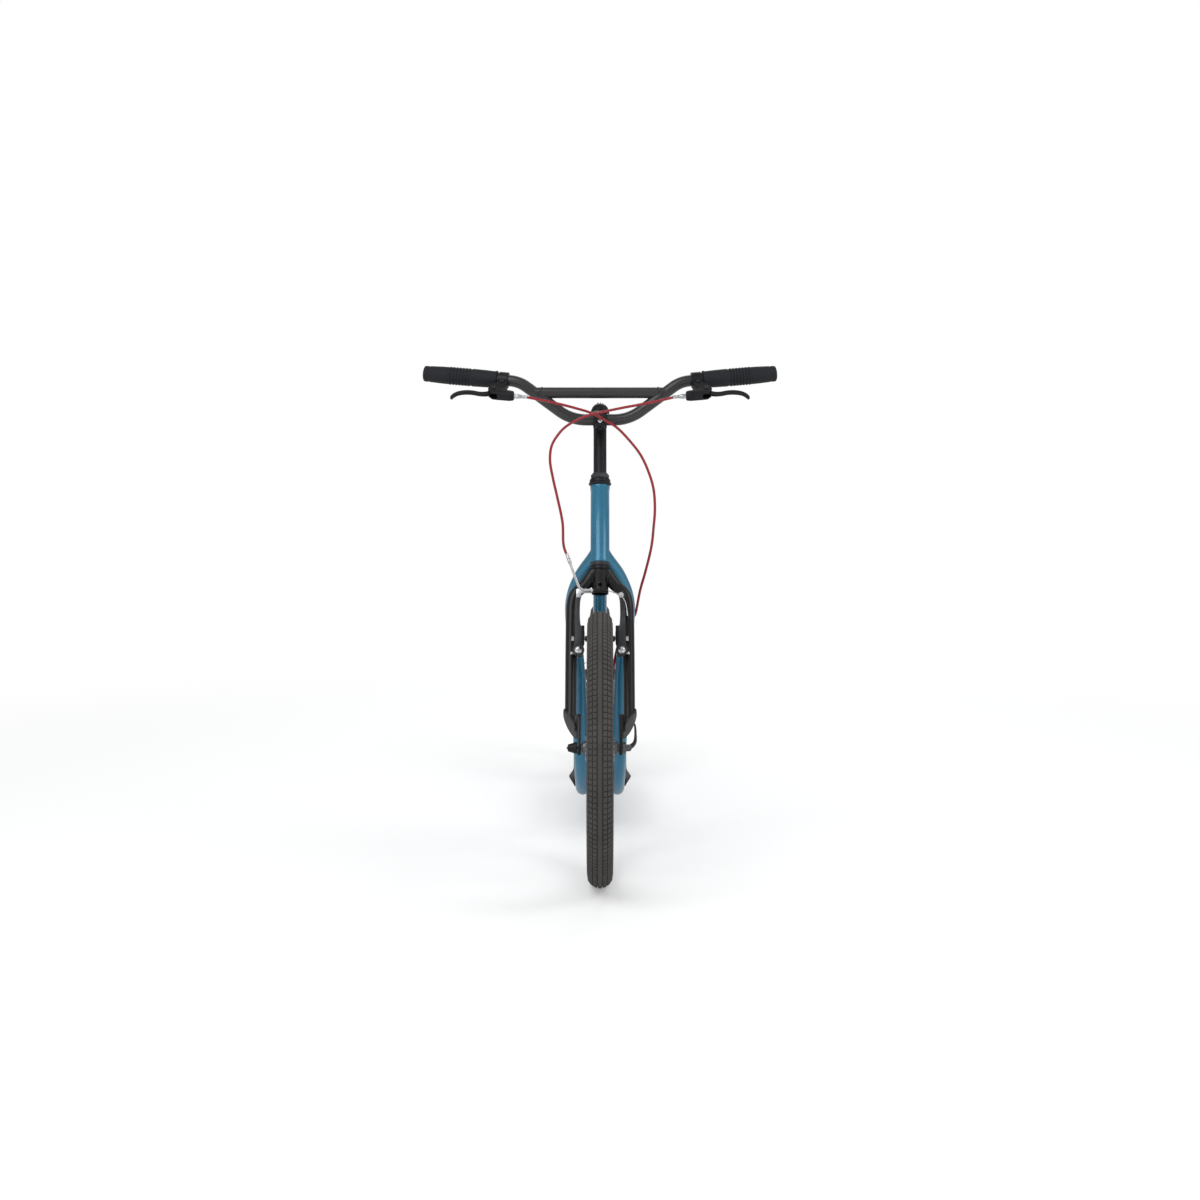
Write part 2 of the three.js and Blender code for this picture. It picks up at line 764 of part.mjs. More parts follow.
// A long block whose flat face passes through a point, for slanted cuts.
function halfSpace(point, normal) {
  const size = wheelBase;
  const geometry = new THREE.BoxGeometry(size, size, size).translate(0, 0, size / 2);
  geometry.applyQuaternion(
    new THREE.Quaternion().setFromUnitVectors(new THREE.Vector3(0, 0, 1), normal.clone().normalize()),
  );
  geometry.translate(point.x, point.y, point.z);
  return solidOf(geometry);
}

function bladePath() {
  const points = bladeShares.map(([across, ahead, up]) =>
    steered(across * blade.spread, -ahead * forkRake, up * bladeTop),
  );
  return new THREE.CatmullRomCurve3(points, false, "centripetal");
}

// The oval cap that closes a blade's slanted lower end.
function bladeCap(centre, along) {
  const slant = new THREE.Vector3().copy(along).addScaledVector(cutNormal, -along.dot(cutNormal)).normalize();
  const across = new THREE.Vector3().crossVectors(cutNormal, slant);
  const long = blade.radius / Math.abs(along.dot(cutNormal)) + forkEnd.capRim;
  const geometry = new THREE.CylinderGeometry(1, 1, 1, 12).rotateX(Math.PI / 2);
  geometry.scale(long, blade.radius + forkEnd.capRim, forkEnd.capThickness);
  geometry.applyMatrix4(new THREE.Matrix4().makeBasis(slant, across, cutNormal).setPosition(centre));
  return solidOf(geometry);
}

// Left blade with its brake stud, capped lower end and slotted dropout.
function leftBlade() {
  const path = bladePath();
  const steps = 11;
  const sizeAt = (share) => {
    const narrowing = Math.min(Math.max((share - 0.12) / 0.2, 0), 1);
    const radius = blade.topRadius + (blade.radius - blade.topRadius) * narrowing;
    return [radius, radius];
  };
  const tube = tapered(path, steps, 8, sizeAt);
  const low = steered(blade.spread, -0.62 * forkRake, forkEnd.cutHeight);
  const trimmed = cut(
    tube,
    halfSpace(low, cutNormal),
    halfSpace(steered(0, 0, crownTop), new THREE.Vector3(0, 0, 1)),
    revolved(disc(crown.radius + clearance, 0, bladeTop + overrun), "z", 20),
  );
  const along = path.getTangentAt(0.95);
  const inner = frontWheel.hubHalfWidth + clearance;
  const [rootLow, rootHigh] = forkEnd.rootHeights;
  const rootPlace = -forkRake + forkEnd.rootSetback;
  const angle = Math.atan2(rootHigh, forkEnd.rootSetback);
  const side = Math.PI / 2;
  const lobe = linkShape([
    [-forkRake, 0, forkEnd.lobe, angle + side, angle + 3 * side],
    [rootPlace, rootHigh, forkEnd.rootRadius, angle - side, angle + side],
  ]);
  const root = linkShape([
    [rootPlace, rootLow, forkEnd.rootRadius, 2 * side, 4 * side],
    [rootPlace, rootHigh, forkEnd.rootRadius, 0, 2 * side],
  ]);
  const slotHalf = frontWheel.axleRadius + clearance;
  const slot = box(
    steered(0, -forkRake - slotHalf, -forkEnd.lobe - overrun),
    steered(blade.spread, -forkRake + slotHalf, 0),
  );
  const axleHole = rod(steered(0, -forkRake, 0), steered(blade.spread, -forkRake, 0), slotHalf, 10);
  const armPlane = forkRake - frontBrake.studSetback;
  const foot = steered(studs.spacing / 2, -armPlane * 0.1, frontBrake.studRadius);
  const bossLength = armPlane * 0.9 - studs.armHub / 2 - clearance;
  const end = joined(
    largest(trimmed),
    bladeCap(low, along),
    plate(lobe, inner, inner + forkEnd.thickness, "yz"),
    plate(root, inner, inner + forkEnd.root, "yz"),
    brakeStud(foot, new THREE.Vector3(0, -1, 0), bossLength),
  );
  return largest(cut(end, slot, axleHole));
}

function steererTube() {
  const tube = revolved(ring(steerer.bore, steerer.radius, crownBase, steererTop), "z", 16);
  const boss = revolved(ring(steerer.bore, crown.radius, crownBase, crownTop), "z", 16);
  const front = -crown.radius;
  const hole = rod(
    steered(0, 2 * front, crownHole),
    steered(0, -2 * front, crownHole),
    crown.holeRadius,
    10,
  );
  const ribs = [-crown.ribs, crown.ribs].map((x) =>
    rod(
      steered(x, front, crownHole + 2 * crown.holeRadius),
      steered(x, front, crownTop - crown.ribs),
      crown.ribs / 2,
      6,
    ),
  );
  return cut(joined(tube, boss, ...ribs), hole);
}

function crownRace() {
  const inner = steerer.radius + clearance;
  const low = crownTop + clearance;
  const high = headTube.base - headset.cupHeight - 2 * clearance;
  const profile = [
    [inner, low],
    [headset.flange - overrun, low],
    [headset.flange - clearance, (low + high) / 2],
    [headset.flange - overrun, high],
    [inner, high],
  ];
  return revolved([...profile, profile[0]], "z", 16);
}

const upperStack = () => headTop + headset.upperHeight + 2 * clearance;

function adjustingRace() {
  const low = upperStack();
  const inner = steerer.radius + clearance;
  const profile = [
    [inner, low],
    [headset.raceRadius, low],
    [headset.raceRadius, low + headset.raceHeight * 0.8],
    [headset.raceRadius * 0.94, low + headset.raceHeight],
    [inner, low + headset.raceHeight],
  ];
  return revolved([...profile, profile[0]], "z", 16);
}

function locknut() {
  const low = upperStack() + headset.raceHeight + clearance;
  const high = low + headset.nutHeight;
  const lip = steererTop + 2 * clearance + headset.nutHeight / 4;
  const hex = revolved(disc(headset.nutRadius, low, high), "z", 6);
  const collar = revolved(
    [
      [0, high],
      [headset.nutRadius * 0.84, high],
      [headset.nutLip, lip],
      [0, lip],
    ],
    "z",
    20,
  );
  const thread = revolved(disc(steerer.radius + clearance, low - overrun, steererTop + clearance), "z", 20);
  const through = revolved(disc(steerer.bore + clearance, low - overrun, lip + overrun), "z", 20);
  return cut(hex.add(collar), thread, through);
}

const skewer = { radius: 2.4, nutRadius: 10.4, nutTip: 6.5, nutLength: 17, disc: 5.5, ear: 3, pin: 2 };
const quickLever = { cam: 5.2, camHalf: 4.6, length: 47, reach: 12, width: 11, thickness: 3.6 };

function frontAxle() {
  const thread = frontWheel.axleRadius - clearance;
  const bore = skewer.radius + clearance;
  const outer = frontWheel.hubHalfWidth + forkEnd.thickness - overrun;
  const inner = frontWheel.hubHalfWidth - cone.thickness;
  const side = [
    [bore, outer],
    [thread, outer],
    [thread, frontWheel.hubHalfWidth],
    [cone.radius, frontWheel.hubHalfWidth],
    [cone.radius, inner],
    [thread, inner],
  ];
  const otherSide = side.map(([radius, place]) => [radius, -place]).reverse();
  return revolved([...side, ...otherSide, side[0]], "x", 10);
}

const forkFace = () => frontWheel.hubHalfWidth + 2 * clearance + forkEnd.thickness;

// The skewer's cone-shaped nut sits outside the right dropout.
function skewerNut() {
  const face = -forkFace();
  const profile = [
    [skewer.radius + clearance, face],
    [skewer.nutRadius, face],
    [skewer.nutRadius, face - skewer.nutLength * 0.3],
    [skewer.nutTip, face - skewer.nutLength],
    [skewer.radius + clearance, face - skewer.nutLength],
  ];
  return revolved([...profile, profile[0]], "x", 16);
}

const camCentre = () => steered(forkFace() + skewer.disc + clearance + quickLever.cam, 0, 0);

// A round bar along Y through the quick-release cam's centre.
function camRod(radius, from, to) {
  const centre = camCentre();
  return rod(centre.clone().setY(from), centre.clone().setY(to), radius, 12);
}

// The skewer runs through the axle and ends in a disc with two ears that hold the cam's pin.
function skewerRod() {
  const face = forkFace();
  const tip = -face - skewer.nutLength - overrun;
  const stem = revolved(disc(skewer.radius, tip, face + skewer.disc / 2), "x", 10);
  const seat = revolved(disc(skewer.nutRadius, face, face + skewer.disc), "x", 14);
  const earInner = quickLever.camHalf + clearance;
  const earOuter = earInner + skewer.ear;
  const ears = [-1, 1].map((side) => {
    const low = Math.min(side * earInner, side * earOuter);
    const arm = box(
      steered(face + skewer.disc / 2, low, -quickLever.cam),
      steered(camCentre().x, low + skewer.ear, quickLever.cam),
    );
    return arm.add(camRod(quickLever.cam, low, low + skewer.ear));
  });
  return joined(stem, seat, ...ears, camRod(skewer.pin, -earOuter, earOuter));
}

// The lever's round cam turns on the pin. Its arm bows out and then runs up along the blade.
function quickReleaseLever() {
  const centre = camCentre();
  const shares = [
    [0.04, 0.1, 0.8],
    [0.12, 0.6, 0.8],
    [0.25, 0.95, 0.95],
    [0.6, 1, 1],
    [0.85, 0.94, 0.9],
    [1, 0.8, 0.55],
  ];
  const rings = shares.map(([up, out, wide]) => {
    const x = centre.x + out * quickLever.reach;
    const z = up * quickLever.length;
    const half = (wide * quickLever.width) / 2;
    const thin = quickLever.thickness / 2;
    return [
      steered(x - thin, -half, z - thin),
      steered(x + thin, -half * 0.8, z),
      steered(x + thin, half * 0.8, z),
      steered(x - thin, half, z - thin),
    ];
  });
  const cam = camRod(quickLever.cam, -quickLever.camHalf, quickLever.camHalf);
  const bore = camRod(skewer.pin + clearance, -quickLever.width, quickLever.width);
  return largest(cut(cam.add(lofted(rings)), bore));
}

function forkGroup() {
  const group = new THREE.Group();
  group.position.copy(steeringBase);
  group.rotation.x = -headTilt;
  const left = leftBlade();
  group.add(
    mesh("steerer", steererTube(), blackPaint),
    mesh("left_fork_blade", left, blackPaint),
    mesh("right_fork_blade", mirrored(left), blackPaint),
    mesh("crown_race", crownRace(), blackAlloy),
    mesh("adjusting_race", adjustingRace(), blackAlloy),
    mesh("locknut", locknut(), blackAlloy),
  );
  const axle = new THREE.Group();
  axle.position.set(0, -forkRake, 0);
  axle.add(
    mesh("front_axle", frontAxle(), steel),
    mesh("skewer", skewerRod(), steel),
    mesh("skewer_nut", skewerNut(), steel),
    mesh("quick_release_lever", quickReleaseLever(), steel),
  );
  group.add(axle);
  return group;
}

// Stem and handlebar

const stem = {
  radius: 12.5,
  bottom: 440,
  headHeight: 640,
  domeRadius: 18.5,
  domeRise: 27,
  clampRadius: 17,
  clampHalf: 13,
  slit: 2,
  boltRadius: 4,
  boltHead: 6.2,
  headDepth: 6,
  wedgeLength: 26,
  wedgeSlope: 25 * DEGREE,
};
const bar = {
  lowerCorner: 55,
  straight: 182,
  upperRise: 73,
  endRise: 88.5,
  endSweep: 30,
  upperSweep: 4,
  lowerBend: 50,
  upperBend: 60,
  crossHeight: 51.5,
  crossRadius: 10.7,
};
const upperCorner = barHalfWidth - bar.straight;
const crossHalf = bar.lowerCorner + ((upperCorner - bar.lowerCorner) * bar.crossHeight) / bar.upperRise;
const grip = { length: 140, radius: 15.8, belly: 18, rib: 0.9, ribShare: 0.5, ribPitch: 7, ribs: 3 };

const domeTop = stem.headHeight + stem.domeRise;
const barFacets = 12;
const barCentre = at(0, barSetback, barHeight);
const onBar = (x, sweep, rise) => at(x, barSetback + sweep, barHeight + rise);
const steeringGrid = new THREE.Euler(headTilt, 0, 0);
const toSteering = (point) => point.clone().sub(steeringBase).applyEuler(steeringGrid);

// The plane between the quill's slanted foot and the wedge below it.
const wedgeFace = () => ({
  point: steered(0, 0, stem.bottom),
  normal: new THREE.Vector3(0, Math.sin(stem.wedgeSlope), -Math.cos(stem.wedgeSlope)),
});

function quillStem() {
  const quill = revolved(disc(stem.radius, stem.bottom - stem.radius, stem.headHeight), "z", 16);
  const dome = revolved(
    [
      [0, stem.headHeight - stem.radius * 1.4],
      [stem.radius, stem.headHeight - stem.radius * 1.4],
      [stem.domeRadius * 0.92, stem.headHeight - stem.radius * 0.4],
      [stem.domeRadius, stem.headHeight + stem.domeRise * 0.14],
      [stem.domeRadius * 0.95, stem.headHeight + stem.domeRise * 0.46],
      [stem.domeRadius * 0.75, stem.headHeight + stem.domeRise * 0.76],
      [stem.domeRadius * 0.42, domeTop],
      [0, domeTop],
    ],
    "z",
    16,
  );
  const clampCentre = toSteering(barCentre);
  const neckStart = steered(0, 0, stem.headHeight - stem.radius * 0.2);
  const neck = rod(neckStart, clampCentre, stem.radius, 14);
  const barrel = placed(
    revolved(disc(stem.clampRadius, -stem.clampHalf, stem.clampHalf), "x", 16),
    clampCentre,
  );
  const bore = placed(
    revolved(disc(barRadius + clearance, -2 * stem.clampHalf, 2 * stem.clampHalf), "x", 14),
    clampCentre,
  );
  const slit = box(
    clampCentre.clone().add(steered(-2 * stem.clampHalf, -stem.slit / 2, -2 * stem.clampRadius)),
    clampCentre.clone().add(steered(2 * stem.clampHalf, stem.slit / 2, 0)),
  );
  const boltHole = revolved(disc(stem.boltRadius + clearance, 0, 2 * domeTop), "z", 8);
  const face = wedgeFace();
  const solid = joined(quill, dome, neck, barrel);
  return largest(cut(solid, bore, slit, boltHole, halfSpace(face.point, face.normal)));
}

function expanderWedge() {
  const low = stem.bottom - stem.wedgeLength;
  const body = revolved(disc(stem.radius - clearance, low, stem.bottom + stem.radius), "z", 12);
  const face = wedgeFace();
  const raised = face.point.clone().addScaledVector(face.normal, clearance);
  const bore = revolved(disc(stem.boltRadius + clearance, low - overrun, 2 * domeTop), "z", 8);
  return largest(cut(body, halfSpace(raised, face.normal.clone().negate()), bore));
}

// Hexagon-socket bolt from the dome down to the wedge.
function expanderBolt() {
  const seat = domeTop + clearance;
  const shank = revolved(disc(stem.boltRadius, stem.bottom - stem.wedgeLength, seat), "z", 8);
  const head = revolved(disc(stem.boltHead, seat, seat + stem.headDepth * 0.5), "z", 12);
  const socket = revolved(disc(stem.boltHead * 0.5, seat + stem.headDepth * 0.1, seat + stem.headDepth), "z", 6);
  return cut(shank.add(head), socket);
}

function handlebarPath() {
  const corners = [
    onBar(-barHalfWidth, bar.endSweep, bar.endRise),
    onBar(-upperCorner, bar.upperSweep, bar.upperRise),
    onBar(-bar.lowerCorner, 0, 0),
    onBar(bar.lowerCorner, 0, 0),
    onBar(upperCorner, bar.upperSweep, bar.upperRise),
    onBar(barHalfWidth, bar.endSweep, bar.endRise),
  ];
  const radii = [bar.upperBend, bar.lowerBend, bar.lowerBend, bar.upperBend];
  return new JoinedPath(bentRun(corners, radii, [3, 3, 3, 3]));
}

function crossbar() {
  const sweep = bar.upperSweep / 2;
  const left = onBar(crossHalf, sweep, bar.crossHeight);
  const right = onBar(-crossHalf, sweep, bar.crossHeight);
  const seat = swept(handlebarPath(), barRadius + clearance, 12);
  return largest(cut(rod(right, left, bar.crossRadius, 12), seat));
}

// The straight end of the bar: along it, towards it from the lever, and square to both.
const leverDrop = 33.5 * DEGREE;

function barEndGrid(across) {
  const upper = onBar(upperCorner, bar.upperSweep, bar.upperRise);
  const end = onBar(barHalfWidth, bar.endSweep, bar.endRise);
  const outward = new THREE.Vector3().subVectors(end, upper).normalize();
  const towardBar = new THREE.Vector3(0, Math.cos(leverDrop), Math.sin(leverDrop));
  towardBar.addScaledVector(outward, -towardBar.dot(outward)).normalize();
  const square = new THREE.Vector3().crossVectors(outward, towardBar);
  const origin = upper.clone().addScaledVector(outward, (across - upper.x) / outward.x);
  return new THREE.Matrix4().makeBasis(outward, towardBar, square).setPosition(origin);
}

const onGrid = (solid, grid) => solid.transform(grid.elements);

// Grip: a swelling sleeve with ribs at its middle and a closed outer end.
function leftGrip() {
  const start = barHalfWidth - grip.length;
  const grid = barEndGrid(start);
  const length = grip.length / grid.elements[0];
  const mid = grip.ribShare * length;
  const ribStart = mid - (grip.ribs * grip.ribPitch) / 2;
  const ribRings = [];
  for (let i = 0; i < grip.ribs; i++) {
    const low = ribStart + i * grip.ribPitch;
    ribRings.push([grip.belly - grip.rib, low], [grip.belly, low + grip.ribPitch / 2]);
  }
  const inner = (barRadius + clearance) / Math.cos(Math.PI / barFacets);
  const profile = [
    [inner, 0],
    [grip.radius + grip.rib, 0],
    [grip.belly - grip.rib, length * 0.2],
    ...ribRings,
    [grip.radius, length * 0.78],
    [grip.radius, length * 0.95],
    [grip.radius * 0.8, length + overrun],
    [0, length + overrun],
    [0, length + clearance * 4],
    [inner, length + clearance * 4],
  ];
  return onGrid(revolved([...profile, profile[0]], "x", barFacets), grid);
}

const lever = {
  inset: 152,
  clampHalf: 9,
  clampWall: 4.4,
  neckIn: -12,
  neckOut: 21,
  perchIn: -31,
  perchNear: -44,
  perchFar: -58,
  halfHeight: 8.5,
  gap: 5.4,
  pivotAcross: 11,
  pivotReach: -40,
  pinRadius: 2.5,
  cableReach: -51,
  slot: 5.1,
  reach: -56,
  tipAcross: 89,
  halfThick: 2.9,
  halfWide: 4.7,
  barrelRadius: 4.5,
  barrelLength: 13,
};
const bracketAt = barHalfWidth - lever.inset;

// Bracket: the clamp band round the bar, the neck and the perch that holds the lever's pivot and the cable end.
function leftBracket() {
  const inner = barRadius + clearance;
  const outer = inner + lever.clampWall;
  const band = revolved(disc(outer, -lever.clampHalf, lever.clampHalf), "x", 14);
  const bore = revolved(disc(inner, lever.perchIn * 4, lever.neckOut * 4), "x", 14);
  const outline = [
    [lever.neckIn, -inner],
    [lever.clampHalf, -inner],
    [lever.clampHalf, -outer * 1.2],
    [lever.neckOut, -outer * 1.5],
    [lever.neckOut, lever.perchNear],
    [lever.pivotAcross, lever.perchFar],
    [lever.perchIn * 0.7, lever.perchFar],
    [lever.perchIn, (lever.perchFar + lever.cableReach) / 2],
    [lever.perchIn, (lever.perchNear + lever.cableReach) / 2],
    [lever.perchIn * 0.7, lever.perchNear],
    [lever.neckIn + lever.clampHalf * 2, lever.perchNear],
    [lever.neckIn + lever.clampHalf * 2, lever.perchNear + lever.gap],
    [lever.neckIn, lever.perchNear + lever.gap],
  ];
  const shape = new THREE.Shape(outline.map(([x, y]) => new THREE.Vector2(x, y)));
  const body = plate(shape, -lever.halfHeight, lever.halfHeight);
  const slotInner = lever.pivotAcross - lever.pinRadius * 4;
  const slot = box(
    new THREE.Vector3(slotInner, lever.perchFar - overrun, -lever.slot),
    new THREE.Vector3(lever.neckOut + overrun, -outer * 1.4, lever.slot),
  );
  const pinFoot = (side) =>
    new THREE.Vector3(lever.pivotAcross, lever.pivotReach, side * (lever.halfHeight - clearance));
  const cableHole = rod(
    new THREE.Vector3(lever.perchIn - overrun, lever.cableReach, 0),
    new THREE.Vector3(slotInner + overrun, lever.cableReach, 0),
    cableRadius,
    8,
  );
  const cavities = [bore, slot, cableHole];
  const solid = cut(band.add(body), ...cavities).add(rod(pinFoot(-1), pinFoot(1), lever.pinRadius, 10));
  return onGrid(largest(solid), barEndGrid(bracketAt));
}

// The blade bows out from its pivot and its tip curls away from the grip.
function leftLever() {
  const span = lever.tipAcross - lever.pivotAcross;
  const rise = lever.reach - lever.pivotReach;
  const shares = [
    [-0.05, -0.2, 0, 1.1, 0.9],
    [0.03, 0.2, 0, 1.5, 0.95],
    [0.13, 0.72, 0, 1.4, 1],
    [0.3, 0.95, 0.5, 1, 1],
    [0.5, 0.85, 0.8, 1, 1],
    [0.7, 0.85, 0, 1, 1],
    [0.86, 1, -1.6, 1, 0.95],
    [0.95, 1.3, -3.2, 1.1, 0.9],
    [1, 1.62, -5, 1, 0.75],
  ];
  const centres = shares.map(
    ([out, away, up]) =>
      new THREE.Vector3(
        lever.pivotAcross + out * span,
        lever.pivotReach + away * rise,
        (up * lever.halfWide) / 3,
      ),
  );
  const rings = centres.map((centre, i) => {
    const before = centres[Math.max(i - 1, 0)];
    const after = centres[Math.min(i + 1, centres.length - 1)];
    const side = new THREE.Vector2(before.y - after.y, after.x - before.x).normalize();
    const [, , , thick, wide] = shares[i];
    const ringPoints = [];
    for (let j = 0; j < 8; j++) {
      const angle = (TURN * (j + 0.5)) / 8;
      const across = Math.sign(Math.cos(angle)) * Math.abs(Math.cos(angle)) ** 0.6;
      const up = Math.sign(Math.sin(angle)) * Math.abs(Math.sin(angle)) ** 0.6;
      const offset = across * lever.halfThick * thick;
      ringPoints.push(
        new THREE.Vector3(
          centre.x + side.x * offset,
          centre.y + side.y * offset,
          centre.z + up * lever.halfWide * wide,
        ),
      );
    }
    return ringPoints;
  });
  const pivotRod = (radius, half) =>
    rod(
      new THREE.Vector3(lever.pivotAcross, lever.pivotReach, -half),
      new THREE.Vector3(lever.pivotAcross, lever.pivotReach, half),
      radius,
      12,
    );
  const eye = pivotRod(lever.pinRadius * 2.2, lever.halfWide);
  const hole = pivotRod(lever.pinRadius + 2 * clearance, 2 * lever.halfWide);
  return onGrid(largest(cut(lofted(rings).add(eye), hole)), barEndGrid(bracketAt));
}

function leftBarrel() {
  const start = lever.perchIn - clearance;
  const end = start - lever.barrelLength;
  const profile = [
    [0, start],
    [lever.barrelRadius, start],
    [lever.barrelRadius, start - lever.barrelLength * 0.45],
    [cableRadius * 1.3, end],
    [0, end],
  ];
  const solid = placed(revolved(profile, "x", 10), new THREE.Vector3(0, lever.cableReach, 0));
  return onGrid(solid, barEndGrid(bracketAt));
}

const barrelTip = () =>
  new THREE.Vector3(lever.perchIn - 2 * clearance - lever.barrelLength, lever.cableReach, 0).applyMatrix4(
    barEndGrid(bracketAt),
  );

function stemGroup() {
  const group = new THREE.Group();
  const column = new THREE.Group();
  column.position.copy(steeringBase);
  column.rotation.x = -headTilt;
  column.add(
    mesh("stem", quillStem(), blackAlloy),
    mesh("expander_wedge", expanderWedge(), steel),
    mesh("expander_bolt", expanderBolt(), steel),
  );
  const twoSided = [
    ["grip", leftGrip(), gripRubber],
    ["lever_bracket", leftBracket(), blackAlloy],
    ["brake_lever", leftLever(), blackAlloy],
    ["cable_adjuster", leftBarrel(), steel],
  ];
  for (const [name, solid, look] of twoSided) {
    group.add(mesh(`left_${name}`, solid, look), mesh(`right_${name}`, mirrored(solid), look));
  }
  group.add(
    column,
    mesh("handlebar", swept(handlebarPath(), barRadius, barFacets), blackPaint),
    mesh("crossbar", crossbar(), blackPaint),
  );
  return group;
}

// Brakes
// Each brake is built on its own grid: across the bike, towards the frame, and outwards from the wheel's axle.

const arm = { length: 112, halfWidth: 8.5, thickness: 11, pinHeight: 103, pinRadius: 2, padPost: 3 };
const armShares = [
  [0.96, -0.036],
  [1, 0.02],
  [0.88, 0.27],
  [0.8, 0.54],
  [0.66, 0.89],
  [0.4, 0.98],
  [0, 1],
  [-0.35, 0.96],
  [-0.35, 0.85],
  [-0.3, 0.54],
  [-0.47, 0.43],
  [-1.24, 0.36],
  [-1.26, 0.12],
  [-1, 0.036],
  [-0.7, -0.054],
  [0, -0.079],
  [0.6, -0.067],
];
const pad = { length: 70, height: 10, thickness: 10, gap: 1.5, inset: 1.4, washer: 5.6, nut: 4.8, nutLength: 4.4 };
const noodle = { radius: 2.5, height: 111.3, bend: 17, ferrule: 3.4, ferruleLength: 9, linkThickness: 2.6 };
const frontNoodle = { corner: -37, end: [-58.6, 0, 59.1] };
const rearNoodle = { corner: -54, end: [-54, 42, -3] };
const boot = { end: 14.5, radius: 4.4, neck: 3.2, folds: 4 };

const trackRadius = (wheel) => wheel.beadRadius + rimFlange.height - pad.inset - pad.height / 2;

function padPlace(brake) {
  const radius = trackRadius(brake.wheel);
  return new THREE.Vector3(0, brake.studSetback, Math.sqrt(radius ** 2 - brake.studSetback ** 2));
}

const armInner = () => studs.spacing / 2 + armShares[12][0] * arm.halfWidth;

// Arm on the positive side. The noodle's arm has the hole for the link's pin.
function brakeArm(brake, hasLink) {
  const pivot = studs.spacing / 2;
  const outline = armShares.map(
    ([across, up]) => new THREE.Vector2(pivot + across * arm.halfWidth, brake.studRadius + up * arm.length),
  );
  const half = arm.thickness / 2;
  const setback = brake.studSetback;
  const web = plate(new THREE.Shape(outline), setback - half, setback + half, "xz");
  const hubHalf = studs.armHub / 2;
  const across = (radius, reach, height, facets) =>
    rod(
      new THREE.Vector3(pivot, setback - reach, brake.studRadius + height),
      new THREE.Vector3(pivot, setback + reach, brake.studRadius + height),
      radius,
      facets,
    );
  const holder = padPlace(brake);
  const postHole = rod(
    holder.clone(),
    holder.clone().setX(2 * pivot),
    arm.padPost + clearance,
    8,
  );
  const solid = cut(web.add(across(arm.halfWidth + clearance, hubHalf, 0, 12)), postHole);
  const bored = cut(solid, across(studs.radius + clearance, hubHalf + overrun, 0, 8));
  return hasLink ? cut(bored, across(arm.pinRadius + clearance, hubHalf, arm.pinHeight, 8)) : bored;
}

// Pad on the positive side: a shoe that follows the rim, with its post, washer and nut.
function brakePad(brake) {
  const place = padPlace(brake);
  const facing = Math.atan2(place.z, place.y);
  const radius = trackRadius(brake.wheel);
  const swing = pad.length / 2 / radius;
  const shape = new THREE.Shape();
  shape.absarc(0, 0, radius + pad.height / 2, facing - swing, facing + swing, false);
  shape.absarc(0, 0, radius - pad.height / 2, facing + swing, facing - swing, true);
  shape.closePath();
  const inner = frontWheel.rimWidth / 2 + pad.gap;
  const back = inner + pad.thickness;
  const shoe = plate(shape, inner, back, "yz", 2);
  const nutFace = studs.spacing / 2 + arm.halfWidth;
  const along = (x) => place.clone().setX(x);
  return joined(
    shoe,
    rod(along(back - overrun), along(nutFace + pad.nutLength), arm.padPost, 8),
    rod(along(back - overrun), along(armInner() - clearance), pad.washer, 10),
    rod(along(nutFace + clearance), along(nutFace + pad.nutLength), pad.nut, 6),
  );
}

const noodleSetback = (brake) =>
  brake.studSetback - arm.thickness / 2 - 2 * clearance - noodle.linkThickness - noodle.radius * 0.8;

function noodlePoint(brake, x, back = 0, up = 0) {
  return new THREE.Vector3(x, noodleSetback(brake) + back, brake.studRadius + noodle.height + up);
}

const bootStart = -boot.end + overrun;

// The noodle leads the cable round its bend. Its link hangs on a pin through the arm on the negative side.
function brakeNoodle(brake, route) {
  const [endX, endBack, endUp] = route.end;
  const start = noodlePoint(brake, bootStart);
  const corner = noodlePoint(brake, route.corner);
  const end = noodlePoint(brake, endX, endBack, endUp);
  const path = new JoinedPath(bentRun([start, corner, end], [noodle.bend], [4]));
  const back = new THREE.Vector3().subVectors(corner, end).normalize();
  const ferrule = rod(
    end.clone().addScaledVector(back, noodle.ferruleLength),
    end,
    noodle.ferrule,
    8,
  );
  const face = brake.studSetback - arm.thickness / 2 - clearance;
  const pinX = -studs.spacing / 2;
  const pinZ = brake.studRadius + arm.pinHeight;
  const halfTall = arm.pinRadius * 2;
  const link = box(
    new THREE.Vector3(pinX - halfTall, face - noodle.linkThickness, pinZ - halfTall),
    new THREE.Vector3(bootStart - overrun, face, brake.studRadius + noodle.height + halfTall),
  );
  const pin = rod(
    new THREE.Vector3(pinX, face - clearance, pinZ),
    new THREE.Vector3(pinX, brake.studSetback + arm.thickness / 2, pinZ),
    arm.pinRadius,
    8,
  );
  return joined(swept(path, noodle.radius, 8), ferrule, link, pin);
}

// Ribbed rubber boot over the wire between the arms.
function brakeBoot(brake) {
  const start = bootStart + clearance;
  const pitch = (boot.end - start) / boot.folds;
  const profile = [[0, start]];
  for (let i = 0; i < boot.folds; i++) {
    profile.push([boot.radius, start + i * pitch], [boot.neck, start + (i + 0.6) * pitch]);
  }
  profile.push([boot.neck, boot.end], [0, boot.end]);
  const centre = noodlePoint(brake, 0);
  return placed(revolved(profile, "x", 8), new THREE.Vector3(0, centre.y, centre.z));
}

